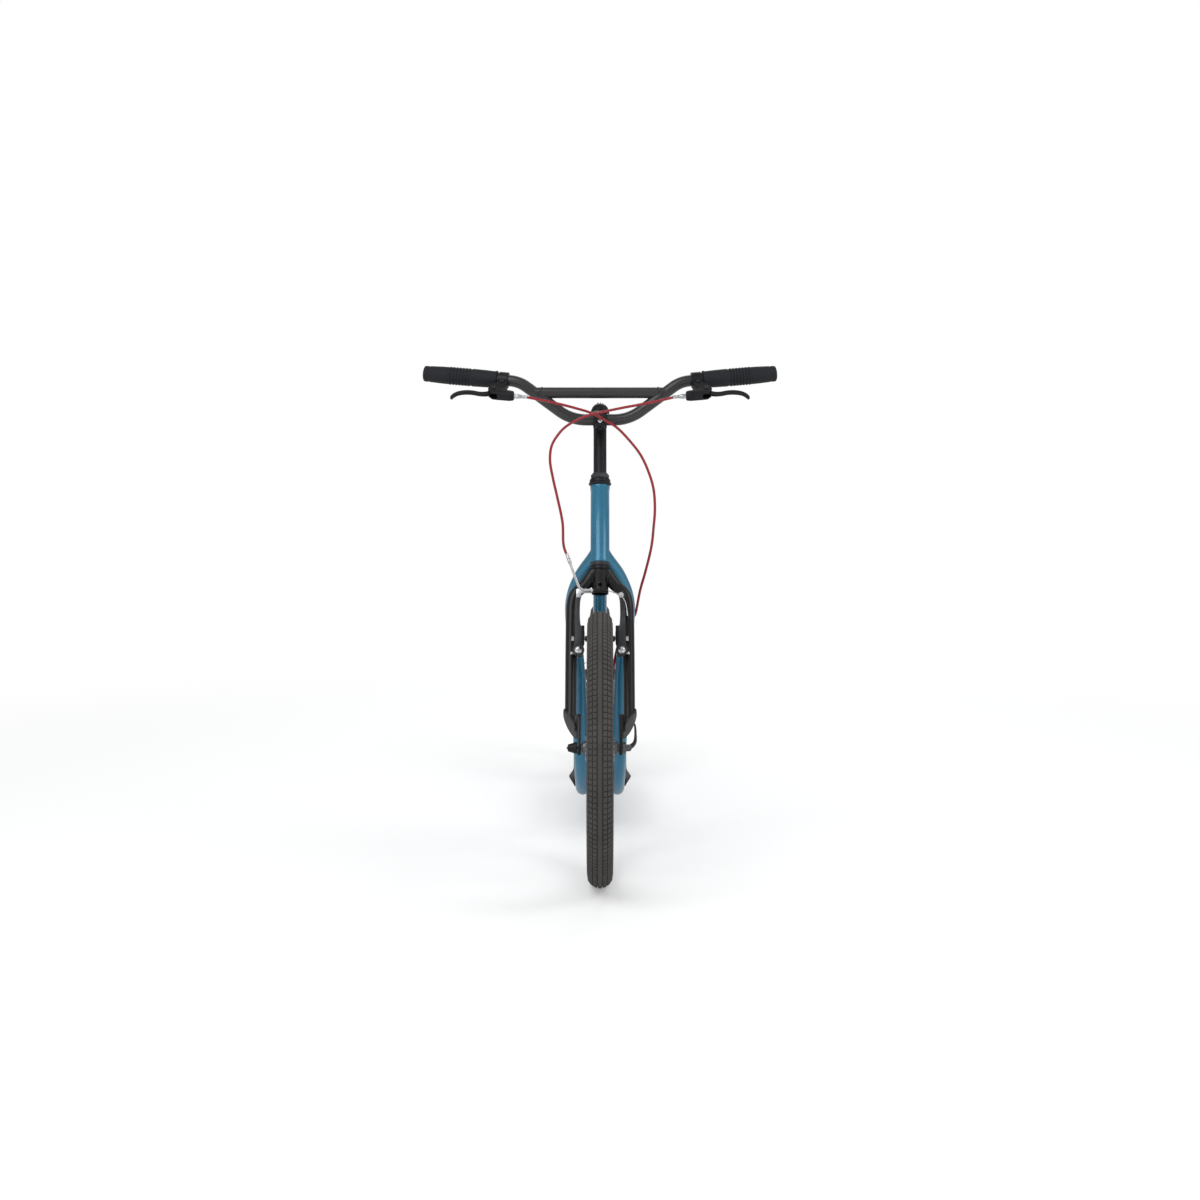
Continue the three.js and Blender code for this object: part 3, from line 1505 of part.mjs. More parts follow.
// The sides are named as the rider sees them. The front brake's noodle is on the right, the rear's on the left.
function brakeGroup(name, brake, route, noodleSide) {
  const group = new THREE.Group();
  const otherSide = noodleSide === "left" ? "right" : "left";
  group.add(
    mesh(`${name}_${noodleSide}_brake_arm`, mirrored(brakeArm(brake, true)), blackAlloy),
    mesh(`${name}_${otherSide}_brake_arm`, brakeArm(brake, false), blackAlloy),
    mesh(`${name}_${noodleSide}_brake_pad`, mirrored(brakePad(brake)), gripRubber),
    mesh(`${name}_${otherSide}_brake_pad`, brakePad(brake), gripRubber),
    mesh(`${name}_brake_noodle`, brakeNoodle(brake, route), steel),
    mesh(`${name}_brake_boot`, brakeBoot(brake), gripRubber),
  );
  return group;
}

function frontBrakeGroup() {
  const group = brakeGroup("front", frontBrake, frontNoodle, "right");
  group.rotation.x = -headTilt;
  group.position.copy(frontHub);
  return group;
}

const rearBrakeGrid = () =>
  new THREE.Matrix4()
    .makeBasis(new THREE.Vector3(-1, 0, 0), rearOutward.clone().negate(), rearRadial)
    .setPosition(rearHub);

function rearBrakeGroup() {
  const group = brakeGroup("rear", rearBrake, rearNoodle, "left");
  group.applyMatrix4(rearBrakeGrid());
  return group;
}

// Cables: their routes are lists of places [across, behind the front hub, height].

const frontCableRoute = [
  [123, 145, 878.9],
  [75.8, 143, 869.1],
  [38.1, 142, 862.1],
  [0.4, 142, 854],
  [-26, 141, 847.4],
  [-45.4, 139, 838.9],
  [-62.7, 136, 828.6],
  [-75.6, 133, 816.4],
  [-90.5, 128, 792.1],
  [-93.8, 124, 765],
  [-88.7, 121, 733.2],
  [-80.2, 118, 696.2],
  [-70.1, 114, 648],
];
const rearCableUpperRoute = [
  [-122.3, 146, 879.8],
  [-84.6, 147, 871.9],
  [-46.9, 150, 862.4],
  [-14.8, 156, 852.4],
  [5.1, 157, 841.6],
  [30.5, 156, 826.5],
  [55.8, 153, 801],
  [77.6, 150, 772.3],
  [92.9, 149, 738.5],
  [101.3, 150, 708.3],
  [103.8, 152, 671],
  [101.5, 157, 637.2],
  [97.7, 164, 600.7],
  [86.8, 178, 552.1],
  [76.9, 194, 514.4],
];
const rearCableLowerRoute = [
  [67.4, 223, 464],
  [59.8, 235, 452],
  [48.4, 246, 432],
  [33, 255, 394],
  [25, 262, 342],
  [23, 286.5, 277],
  [21, 309, 212],
  [18, 321, 178],
  [17, 338, 145.7],
  [17, 358, 120.5],
  [17, 387, 100.5],
  [17, 421, 87],
  [17, 457, 82.5],
  [17, 500, 84],
  [16, 600, 86],
  [16, 700, 86],
  [15.5, 775, 86],
  [15.5, 800, 86.3],
  [16, 811.5, 91.5],
  [16.5, 815, 102],
  [18, 819, 120],
  [24, 824, 145],
  [37, 827, 178],
  [47, 832, 213],
];
const cableMeeting = [70.3, 210.5, 477];

const barLeftToRight = (point) => point.clone().setX(-point.x);

function cable(points, steps) {
  const path = new THREE.CatmullRomCurve3(points, false, "centripetal");
  return swept(path, cableRadius, 8, steps);
}

// A place just off a piece's end, and one further on in line with it.
function leading(end, towards, distance) {
  const away = new THREE.Vector3().subVectors(end, towards).normalize();
  return [end.clone().addScaledVector(away, clearance), end.clone().addScaledVector(away, distance)];
}

function noodleLead(brake, route, grid) {
  const end = noodlePoint(brake, ...route.end).applyMatrix4(grid);
  const corner = noodlePoint(brake, route.corner).applyMatrix4(grid);
  return leading(end, corner, 3 * noodle.ferruleLength);
}

function barrelLead() {
  const tip = barrelTip();
  const inward = barrelTip().add(new THREE.Vector3().setFromMatrixColumn(barEndGrid(bracketAt), 0));
  return leading(tip, inward, 2 * cableRadius);
}

function frontCable() {
  const grid = new THREE.Matrix4().makeRotationX(-headTilt).setPosition(frontHub);
  const route = frontCableRoute.map((place) => at(...place));
  const last = noodleLead(frontBrake, frontNoodle, grid).reverse();
  return cable([...barrelLead(), ...route, ...last], 32);
}

function rearCableUpper() {
  const route = rearCableUpperRoute.map((place) => at(...place));
  return cable([...barrelLead().map(barLeftToRight), ...route, at(...cableMeeting)], 34);
}

function rearCableLower() {
  const route = rearCableLowerRoute.map((place) => at(...place));
  const last = noodleLead(rearBrake, rearNoodle, rearBrakeGrid()).reverse();
  const start = leading(at(...cableMeeting), at(...rearCableUpperRoute.at(-1)), 2 * cableRadius);
  return cable([...start, ...route, ...last], 44);
}

const kickBike = new THREE.Group();
kickBike.add(
  wheelGroup(frontWheel, frontHub),
  wheelGroup(rearWheel, rearHub),
  frameGroup(),
  forkGroup(),
  stemGroup(),
  frontBrakeGroup(),
  rearBrakeGroup(),
  mesh("front_brake_cable", frontCable(), cableRed),
  mesh("rear_brake_cable_upper", rearCableUpper(), cableRed),
  mesh("rear_brake_cable_lower", rearCableLower(), cableRed),
);

export default kickBike;
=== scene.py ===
"""Looks of the kick bike: its finishes, tubes, turned parts, wheels, brakes and cables, floor and light.

Metres. +Z is up and the bike faces -Y, so +X is the rider's left, as in the frame.
"""

import logging
import math
from collections.abc import Iterable, Sequence
from dataclasses import dataclass
from enum import Enum

import bpy
from mathutils import Matrix, Vector


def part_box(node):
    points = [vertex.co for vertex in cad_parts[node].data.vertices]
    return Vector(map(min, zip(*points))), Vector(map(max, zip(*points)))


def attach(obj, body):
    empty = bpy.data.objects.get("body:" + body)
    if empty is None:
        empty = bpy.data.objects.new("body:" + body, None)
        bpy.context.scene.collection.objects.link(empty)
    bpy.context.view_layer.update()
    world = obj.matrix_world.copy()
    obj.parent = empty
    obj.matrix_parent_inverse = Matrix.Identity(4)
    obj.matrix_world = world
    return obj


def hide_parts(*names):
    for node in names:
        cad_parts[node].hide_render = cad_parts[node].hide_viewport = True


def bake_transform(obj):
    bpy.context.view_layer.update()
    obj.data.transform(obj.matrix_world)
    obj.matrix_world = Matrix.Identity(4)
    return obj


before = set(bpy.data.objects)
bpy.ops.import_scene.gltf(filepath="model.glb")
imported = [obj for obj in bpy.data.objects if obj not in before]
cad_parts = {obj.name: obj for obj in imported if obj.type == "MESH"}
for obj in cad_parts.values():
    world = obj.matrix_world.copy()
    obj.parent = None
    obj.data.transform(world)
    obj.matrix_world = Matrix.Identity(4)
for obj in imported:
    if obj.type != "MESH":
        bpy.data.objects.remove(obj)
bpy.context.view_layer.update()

log = logging.getLogger("kick_bike")

Colour = tuple[float, float, float]
Point = tuple[float, float, float]
Profile = Sequence[tuple[float, float]]
Piece = bpy.types.Object

FULL_TURN = 2 * math.pi
QUARTER = math.pi / 2
HERE = Matrix.Identity(4)
ACROSS, BACK, UP = (Vector(row) for row in Matrix.Identity(3))

# Driving sizes of the bike
FRONT_TYRE_RADIUS = 0.247
REAR_TYRE_RADIUS = 0.198
TYRE_WIDTH = 0.047
WHEEL_BASE = 1.08
HEAD_TILT = math.radians(18)
FORK_RAKE = 0.04
REAR_LIFT = math.radians(20)
BAR_RADIUS = 0.0111
BAR_HALF_WIDTH = 0.336
LEVER_DROP = math.radians(33.5)

# Places worked out from them
MIDDLE = (WHEEL_BASE + REAR_TYRE_RADIUS - FRONT_TYRE_RADIUS) / 2


def shift(place: Vector | Point) -> Matrix:
    """Returns the move to a place."""
    return Matrix.Translation(place)


def at(across: float, behind: float, height: float) -> Vector:
    """Returns the place that is so far to the rider's left, behind the front hub and above the ground."""
    return Vector((across, behind - MIDDLE, height))


FRONT_HUB = at(0, 0, FRONT_TYRE_RADIUS)
REAR_HUB = at(0, WHEEL_BASE, REAR_TYRE_RADIUS)
STEERING_BASE = FRONT_HUB + FORK_RAKE * Vector((0, math.cos(HEAD_TILT), -math.sin(HEAD_TILT)))
STEERING = shift(STEERING_BASE) @ Matrix.Rotation(-HEAD_TILT, 4, "X")
FRONT_BRAKE = shift(FRONT_HUB) @ Matrix.Rotation(-HEAD_TILT, 4, "X")
REAR_OUTWARD = Vector((0, math.sin(REAR_LIFT), math.cos(REAR_LIFT)))
REAR_RADIAL = Vector((0, -math.cos(REAR_LIFT), math.sin(REAR_LIFT)))
MIRROR = Matrix.Diagonal((-1, 1, 1, 1))


def grid(origin: Vector, first: Vector, second: Vector, third: Vector) -> Matrix:
    """Returns the matrix of a grid with its three directions and its origin."""
    turn = Matrix((first, second, third)).transposed()
    return shift(origin) @ turn.to_4x4()


REAR_BRAKE = grid(REAR_HUB, Vector((-1, 0, 0)), -REAR_OUTWARD, REAR_RADIAL)
ALONG_X = Matrix.Rotation(QUARTER, 4, "Y")
ALONG_Y = Matrix.Rotation(-QUARTER, 4, "X")


# Curves


def spline(points: Sequence[Vector], per_span: int) -> list[Vector]:
    """Draws a smooth line through points.

    Args:
        points: the places that the line passes.
        per_span: the steps between two of them.

    Returns:
        The places along the line.
    """
    line = [2 * points[0] - points[1], *points, 2 * points[-1] - points[-2]]
    drawn = []
    for before, start, end, after in zip(line, line[1:], line[2:], line[3:]):
        first, middle, last = (
            max((b - a).length, 1e-9) ** 0.5 for a, b in ((before, start), (start, end), (end, after))
        )
        leave = (start - before) / first - (end - before) / (first + middle) + (end - start) / middle
        reach = (end - start) / middle - (after - start) / (middle + last) + (after - end) / last
        leave, reach = leave * middle, reach * middle
        for step in range(per_span):
            t = step / per_span
            drawn.append(
                (2 * t**3 - 3 * t**2 + 1) * start + (t**3 - 2 * t**2 + t) * leave + (3 * t**2 - 2 * t**3)
                * end + (t**3 - t**2) * reach
            )
    return [*drawn, points[-1].copy()]


def rounded(points: Sequence[Vector], radii: Sequence[float], steps: int) -> list[Vector]:
    """Draws straight runs whose corners are rounded.

    Args:
        points: the corners, with both ends.
        radii: the radius at each inner corner.
        steps: the steps of each arc.

    Returns:
        The places along the line.
    """
    drawn = [points[0].copy()]
    for before, corner, after, radius in zip(points, points[1:], points[2:], radii):
        back, ahead = (before - corner).normalized(), (after - corner).normalized()
        turn = math.pi - back.angle(ahead)
        start = corner + back * radius * math.tan(turn / 2)
        inside = (ahead + back).normalized()
        inside = (inside - back * inside.dot(back)).normalized()
        for step in range(steps + 1):
            angle = turn * step / steps
            drawn.append(start - back * radius * math.sin(angle) + inside * radius * (1 - math.cos(angle)))
    return [*drawn, points[-1].copy()]


def length_of(points: Sequence[Vector]) -> float:
    """Returns the length of a line through points."""
    return sum((b - a).length for a, b in zip(points, points[1:]))


# Shader building


class Wire:
    """A value inside a material, so that sums on it read as plain Python."""

    def __init__(self, shader: "Shader", socket: bpy.types.NodeSocket) -> None:
        """Keeps the material and the socket that gives the value."""
        self.shader = shader
        self.socket = socket

    def _sum(self, operation: str, first: "Wire | float", second: "Wire | float") -> "Wire":
        """Returns what a Math node makes of two values."""
        node = self.shader.node("ShaderNodeMath", {"operation": operation}, {0: first, 1: second})
        return Wire(self.shader, node.outputs[0])

    def __add__(self, other: "Wire | float") -> "Wire":
        """Adds a value."""
        return self._sum("ADD", self, other)

    def __mul__(self, other: "Wire | float") -> "Wire":
        """Multiplies by a value."""
        return self._sum("MULTIPLY", self, other)


class Shader:
    """A material under construction."""

    def __init__(self, name: str) -> None:
        """Makes an empty material with one surface shader.

        Args:
            name: the material's name.
        """
        self.material = bpy.data.materials.new(name)
        self.material.use_nodes = True
        self.tree = self.material.node_tree
        self.surface = self.tree.nodes["Principled BSDF"]
        self.output = self.tree.nodes["Material Output"]

    def node(
        self, kind: str, settings: dict[str, object] | None = None,
        sockets: dict[int | str, object] | None = None
    ) -> bpy.types.Node:
        """Adds a node.

        Args:
            kind: the node's type.
            settings: its own settings, set first. A ramp's stops are given as "stops".
            sockets: a value or a Wire for each input, by number or name.

        Returns:
            The node.
        """
        made = self.tree.nodes.new(kind)
        for key, value in (settings or {}).items():
            if key == "stops":
                self._stops(made.color_ramp, value)
            else:
                setattr(made, key, value)
        for key, value in (sockets or {}).items():
            self.feed(made.inputs[key], value)
        return made

    @staticmethod
    def _stops(ramp: bpy.types.ColorRamp, stops: Sequence[tuple[float, float]]) -> None:
        """Sets a ramp's stops.

        Args:
            ramp: the ramp.
            stops: a place and a grey value for each.
        """
        for element, (place, grey) in zip(ramp.elements, stops):
            element.position = place
            element.color = (grey, grey, grey, 1)

    def feed(self, socket: bpy.types.NodeSocket, value: object) -> None:
        """Gives a socket a link or a constant.

        Args:
            socket: the input.
            value: a Wire or the constant.
        """
        if isinstance(value, Wire):
            self.tree.links.new(value.socket, socket)
        elif isinstance(value, tuple) and len(value) == 3 and len(socket.default_value) == 4:
            socket.default_value = (*value, 1)
        else:
            socket.default_value = value

    def place(self, stretch: Point = (1, 1, 1)) -> Wire:
        """Reads the place on the object.

        Args:
            stretch: the stretch along each axis.

        Returns:
            The stretched place.
        """
        coordinates = self.node("ShaderNodeTexCoord")
        mapping = self.node(
            "ShaderNodeMapping", sockets={0: Wire(self, coordinates.outputs["Object"]), 3: stretch}
        )
        return Wire(self, mapping.outputs[0])

    def noise(self, scale: float, stretch: Point = (1, 1, 1), detail: float = 3) -> Wire:
        """Adds a cloudy pattern.

        Args:
            scale: the pattern's scale.
            stretch: its stretch along each axis.
            detail: its detail.

        Returns:
            A value between 0 and 1.
        """
        sockets = {"Vector": self.place(stretch), "Scale": scale, "Detail": detail}
        node = self.node("ShaderNodeTexNoise", sockets=sockets)
        return Wire(self, node.outputs[0])

    def cells(self, scale: float) -> Wire:
        """Returns the distance to the nearest of scattered points."""
        node = self.node("ShaderNodeTexVoronoi", sockets={"Vector": self.place(), "Scale": scale})
        return Wire(self, node.outputs[0])

    def ramp(self, value: Wire, low: float, high: float) -> Wire:
        """Returns 0 below one value and 1 above another, with an even slope between."""
        node = self.node("ShaderNodeValToRGB", {"stops": ((low, 0.0), (high, 1.0))}, {0: value})
        return Wire(self, node.outputs[0])

    def mix(self, share: Wire, first: "Colour | Wire", second: "Colour | Wire") -> Wire:
        """Returns a colour between two."""
        node = self.node("ShaderNodeMix", {"data_type": "RGBA"}, {0: share, 6: first, 7: second})
        return Wire(self, node.outputs[2])

    def bump(self, height: Wire, depth: float) -> None:
        """Raises the surface by a pattern."""
        node = self.node("ShaderNodeBump", sockets={"Distance": depth, "Height": height, "Strength": 1.0})
        self.feed(self.surface.inputs["Normal"], Wire(self, node.outputs[0]))

    def set(self, **values: object) -> None:
        """Sets inputs of the surface shader, with spaces written as underscores."""
        for name, value in values.items():
            self.feed(self.surface.inputs[name.replace("_", " ")], value)


@dataclass(frozen=True)
class Paint:
    """Sprayed paint under a clear coat, with a faint flake and orange peel."""

    name: str
    slot: str
    colour: Colour
    deep: Colour
    flake: float = 0.12
    gloss: float = 0.3
    metallic: float = 0.0
    coat: float = 0.7
    sheen: float = 0.5

    def build(self) -> bpy.types.Material:
        """Makes the material.

        Returns:
            The material.
        """
        shader = Shader(self.name)
        cloud = shader.ramp(shader.noise(14, detail=2), 0.3, 0.7)
        speckle = shader.ramp(shader.cells(1900), 0.08, 0.3)
        shader.set(
            Base_Color=shader.mix(cloud * 0.5 + speckle * self.flake, self.colour, self.deep),
            Roughness=shader.noise(55) * 0.12 + self.gloss, Metallic=self.metallic, Coat_Weight=self.coat,
            Coat_Roughness=0.09, Specular_IOR_Level=self.sheen
        )
        shader.bump(shader.noise(420, detail=1), 0.00004)
        return shader.material


@dataclass(frozen=True)
class Metal:
    """Bare, polished, brushed or anodised metal with drawn-out tool marks."""

    name: str
    slot: str
    colour: Colour
    tint: Colour
    roughness: float = 0.28
    spread: float = 0.16
    marks: Point = (60, 60, 700)
    metallic: float = 1.0
    depth: float = 0.00002

    def build(self) -> bpy.types.Material:
        """Makes the material.

        Returns:
            The material.
        """
        shader = Shader(self.name)
        marks = shader.noise(1, stretch=self.marks, detail=4)
        stain = shader.ramp(shader.noise(38), 0.4, 0.75)
        shader.set(
            Base_Color=shader.mix(stain * 0.6 + marks * 0.3, self.colour, self.tint),
            Roughness=marks * self.spread + stain * 0.08 + self.roughness, Metallic=self.metallic
        )
        shader.bump(marks, self.depth)
        return shader.material


@dataclass(frozen=True)
class Rubber:
    """Moulded rubber with a fine grain and a breath of dust."""

    name: str
    slot: str
    colour: Colour
    dust: Colour
    grain: float = 1500
    depth: float = 0.00008
    dusting: float = 0.35
    roughness: float = 0.62

    def build(self) -> bpy.types.Material:
        """Makes the material.

        Returns:
            The material.
        """
        shader = Shader(self.name)
        dusty = shader.ramp(shader.noise(26, detail=5), 0.42, 0.8) * self.dusting
        grain = shader.noise(self.grain, detail=2)
        shader.set(
            Base_Color=shader.mix(dusty, self.colour, self.dust),
            Roughness=dusty * 0.3 + grain * 0.14 + self.roughness, Specular_IOR_Level=0.35
        )
        shader.bump(grain, self.depth)
        return shader.material


@dataclass(frozen=True)
class Plastic:
    """Moulded plastic, from glossy cable sleeving to a leather-grained board."""

    name: str
    slot: str
    colour: Colour
    pale: Colour
    grain: float = 700
    depth: float = 0.0001
    roughness: float = 0.4
    coat: float = 0.0

    def build(self) -> bpy.types.Material:
        """Makes the material.

        Returns:
            The material.
        """
        shader = Shader(self.name)
        cells = shader.cells(self.grain)
        scuff = shader.ramp(shader.noise(30, stretch=(1, 0.3, 1), detail=6), 0.5, 0.72)
        shader.set(
            Base_Color=shader.mix(scuff * 0.5, self.colour, self.pale),
            Roughness=scuff * 0.15 + cells * 0.1 + self.roughness, Coat_Weight=self.coat, Coat_Roughness=0.15
        )
        shader.bump(cells, self.depth)
        return shader.material


class Look(Enum):
    """The bike's finishes."""

    FRAME_BLUE = Paint(
        "frame blue paint", "frame_paint", (0.032, 0.228, 0.372), (0.02, 0.168, 0.29), flake=0.35,
        metallic=0.25, coat=0.45
    )
    BLACK_PAINT = Paint(
        "black gloss paint", "black_paint", (0.006, 0.006, 0.007), (0.012, 0.012, 0.013), coat=0.12,
        sheen=0.32
    )
    BAR_BLACK = Paint(
        "satin bar paint", "black_paint", (0.028, 0.028, 0.029), (0.04, 0.04, 0.042), coat=0.2, sheen=0.4
    )
    CAP_GREY = Paint(
        "grey cap paint", "black_paint", (0.045, 0.046, 0.049), (0.034, 0.035, 0.038), coat=0.15
    )
    BLACK_ALLOY = Metal(
        "black anodised alloy", "black_alloy", (0.018, 0.018, 0.02), (0.036, 0.037, 0.04), roughness=0.34,
        metallic=0.75
    )
    GREY_ALLOY = Metal(
        "dark grey brake alloy", "black_alloy", (0.05, 0.051, 0.055), (0.085, 0.087, 0.092), roughness=0.36,
        metallic=0.7
    )
    STEEL = Metal("zinc-plated steel", "steel", (0.62, 0.63, 0.65), (0.5, 0.51, 0.53), roughness=0.26)
    BRIGHT_STEEL = Metal(
        "bright steel", "steel", (0.8, 0.8, 0.81), (0.72, 0.72, 0.74), roughness=0.24, spread=0.08
    )
    HUB_ALLOY = Metal("satin hub alloy", "hub_alloy", (0.2, 0.2, 0.205), (0.15, 0.15, 0.155), roughness=0.36)
    SPOKE_STEEL = Metal("spoke wire", "steel", (0.66, 0.67, 0.69), (0.58, 0.59, 0.61), roughness=0.2)
    GRIP_RUBBER = Rubber(
        "grip rubber", "rubber", (0.012, 0.013, 0.017), (0.035, 0.036, 0.04), grain=900, dusting=0.2
    )
    SMALL_RUBBER = Rubber("black soft rubber", "rubber", (0.013, 0.013, 0.014), (0.04, 0.04, 0.04))
    TYRE_RUBBER = Rubber(
        "tyre rubber", "tyre", (0.072, 0.068, 0.065), (0.13, 0.124, 0.117), dusting=0.5, roughness=0.7
    )
    TYRE_WALL = Rubber(
        "tyre side wall", "tyre", (0.066, 0.063, 0.061), (0.11, 0.105, 0.1), grain=2400, dusting=0.45
    )
    BOARD = Plastic(
        "grained board", "board_plastic", (0.013, 0.0135, 0.0145), (0.032, 0.033, 0.035), roughness=0.56
    )
    SLEEVE_RED = Plastic(
        "red cable sleeving", "cable_red", (0.31, 0.005, 0.013), (0.42, 0.012, 0.022), grain=240,
        depth=0.00002, roughness=0.32, coat=0.25
    )
    BLACK_PLASTIC = Plastic(
        "black plastic", "rubber", (0.014, 0.014, 0.015), (0.04, 0.04, 0.042), roughness=0.36
    )

    @property
    def material(self) -> bpy.types.Material:
        """The built material, made once."""
        return bpy.data.materials.get(self.value.name) or self.value.build()


# Modelling


def fresh() -> None:
    """Leaves edit mode and deselects everything."""
    if bpy.context.mode != "OBJECT":
        bpy.ops.object.mode_set(mode="OBJECT")
    bpy.ops.object.select_all(action="DESELECT")


def chosen(piece: Piece) -> None:
    """Selects one object alone and makes it the active one.

    Args:
        piece: the object.
    """
    fresh()
    piece.select_set(True)
    bpy.context.view_layer.objects.active = piece


def active(name: str) -> Piece:
    """Names the object that an operator has just made.

    Args:
        name: its new name.

    Returns:
        The object.
    """
    made = bpy.context.object
    made.name = name
    made.data.name = name
    return made


def settled(piece: Piece, place: Matrix) -> Piece:
    """Puts a piece's place into its mesh, with the faces outwards.

    Args:
        piece: the object.
        place: a further move, turn or mirror.

    Returns:
        The piece, with its object at the origin.
    """
    whole = place @ piece.matrix_basis
    piece.data.transform(whole)
    piece.matrix_basis = HERE
    if whole.determinant() < 0:
        piece.data.flip_normals()
    return piece


def smoothed(piece: Piece, degrees: float = 35) -> Piece:
    """Shades a piece smooth except at sharp edges.

    Args:
        piece: the object.
        degrees: the angle past which an edge is sharp.

    Returns:
        The piece.
    """
    chosen(piece)
    bpy.ops.object.shade_smooth_by_angle(angle=math.radians(degrees))
    return piece


def finished(piece: Piece, kind: str, settings: dict[str, object]) -> Piece:
    """Applies one modifier to a piece.

    Args:
        piece: the object.
        kind: the modifier's type.
        settings: its settings.

    Returns:
        The piece.
    """
    chosen(piece)
    modifier = piece.modifiers.new("shape", kind)
    for key, value in settings.items():
        setattr(modifier, key, value)
    bpy.ops.object.modifier_apply(modifier=modifier.name)
    return piece


def joined(name: str, parts: Sequence[Piece]) -> Piece:
    """Joins meshes into one piece.

    Args:
        name: the piece's name.
        parts: the meshes, which are used up.

    Returns:
        The piece.
    """
    fresh()
    for part in parts:
        part.select_set(True)
    bpy.context.view_layer.objects.active = parts[0]
    if len(parts) > 1:
        bpy.ops.object.join()
    return active(name)


def closed_up(gap: float = 0) -> None:
    """Closes the active mesh and turns its faces outwards.

    Args:
        gap: the distance under which its points are merged.
    """
    bpy.ops.object.mode_set(mode="EDIT")
    bpy.ops.mesh.select_all(action="SELECT")
    if gap:
        bpy.ops.mesh.remove_doubles(threshold=gap)
    bpy.ops.mesh.normals_make_consistent(inside=False)
    bpy.ops.object.mode_set(mode="OBJECT")


def meshed(name: str, curve: bpy.types.Curve) -> Piece:
    """Turns a curve into a closed mesh.

    Args:
        name: the piece's name.
        curve: the curve, which has a bevel or a fill.

    Returns:
        The piece.
    """
    holder = bpy.data.objects.new(name, curve)
    bpy.context.collection.objects.link(holder)
    chosen(holder)
    bpy.ops.object.convert(target="MESH")
    made = active(name)
    closed_up(1e-6)
    return made


def turned(
    name: str, profile: Profile, place: Matrix, facets: int = 48, degrees: float = 32, start: float = 0
) -> Piece:
    """Turns a profile about an axis, as on a lathe.

    Args:
        name: the piece's name.
        profile: radius and place along the axis, point by point. A closed profile ends where it starts.
        place: the grid whose third direction is the axis.
        facets: the sides round.
        degrees: the edge angle above which an edge stays crisp.
        start: where on the axis the profile's places are counted from.

    Returns:
        The piece.
    """
    fresh()
    tiny = 1e-5
    closed = profile[0] == profile[-1]
    points = [(max(radius, tiny), start + height) for radius, height in profile]
    radius, height = points[0]
    bpy.ops.mesh.primitive_circle_add(
        vertices=facets, radius=radius, location=(0, 0, height), fill_type="NOTHING" if closed else "NGON"
    )
    bpy.ops.object.transform_apply(location=True, rotation=True, scale=True)
    bpy.ops.object.mode_set(mode="EDIT")
    for next_radius, next_height in points[1:]:
        bpy.ops.mesh.extrude_region_move(TRANSFORM_OT_translate={"value": (0, 0, next_height - height)})
        share = next_radius / radius
        bpy.ops.transform.resize(value=(share, share, 1), center_override=(0, 0, next_height))
        radius, height = next_radius, next_height
    closed_up(tiny / 2)
    return smoothed(settled(active(name), place), degrees)


def tube(
    name: str, points: Sequence[Vector], radius: float, place: Matrix = HERE, sides: int = 6,
    radii: Sequence[float] | None = None
) -> Piece:
    """Sweeps a round section along a line.

    Args:
        name: the piece's name.
        points: the line.
        radius: the section's radius.
        place: the grid that the points are in.
        sides: a quarter of the section's sides, less one.
        radii: the share of the radius at each point.

    Returns:
        The piece, a closed mesh.
    """
    line = bpy.data.curves.new(name, "CURVE")
    line.dimensions = "3D"
    line.bevel_depth = radius
    line.bevel_resolution = sides
    line.use_fill_caps = True
    run = line.splines.new("POLY")
    run.points.add(len(points) - 1)
    for i, (knot, point) in enumerate(zip(run.points, points)):
        knot.co = (*point, 1)
        knot.radius = radii[i] if radii else 1
    return smoothed(settled(meshed(name, line), place), 50)


def plate(
    name: str, outline: Sequence[tuple[float, float]], thickness: float, place: Matrix, edge: float = 0.0006
) -> Piece:
    """Cuts an outline from sheet and rounds its edges.

    Args:
        name: the piece's name.
        outline: the corners in the plate's first two directions.
        thickness: the sheet's thickness, half to each side.
        place: the grid, with the plate square to its third direction.
        edge: the edge radius.

    Returns:
        The piece.
    """
    flat = bpy.data.curves.new(name, "CURVE")
    flat.dimensions = "2D"
    flat.fill_mode = "BOTH"
    flat.extrude = thickness / 2 - edge
    flat.bevel_depth = edge
    flat.bevel_resolution = 2
    flat.offset = -edge
    run = flat.splines.new("POLY")
    run.points.add(len(outline) - 1)
    run.use_cyclic_u = True
    for knot, (across, up) in zip(run.points, outline):
        knot.co = (across, up, 0, 1)
    return smoothed(settled(meshed(name, flat), place), 40)


def block(name: str, low: Point, high: Point, place: Matrix = HERE, edge: float = 0.0008) -> Piece:
    """Makes a box with rounded edges.

    Args:
        name: the piece's name.
        low: its lowest corner.
        high: its highest corner.
        place: the grid that the corners are in.
        edge: the edge radius.

    Returns:
        The piece.
    """
    fresh()
    size = [b - a for a, b in zip(low, high)]
    centre = [(a + b) / 2 for a, b in zip(low, high)]
    bpy.ops.mesh.primitive_cube_add(size=1, location=centre, scale=size)
    made = active(name)
    bpy.ops.object.transform_apply(location=True, rotation=True, scale=True)
    finished(made, "BEVEL", {"width": edge, "segments": 2, "limit_method": "ANGLE"})
    return smoothed(settled(made, place), 40)


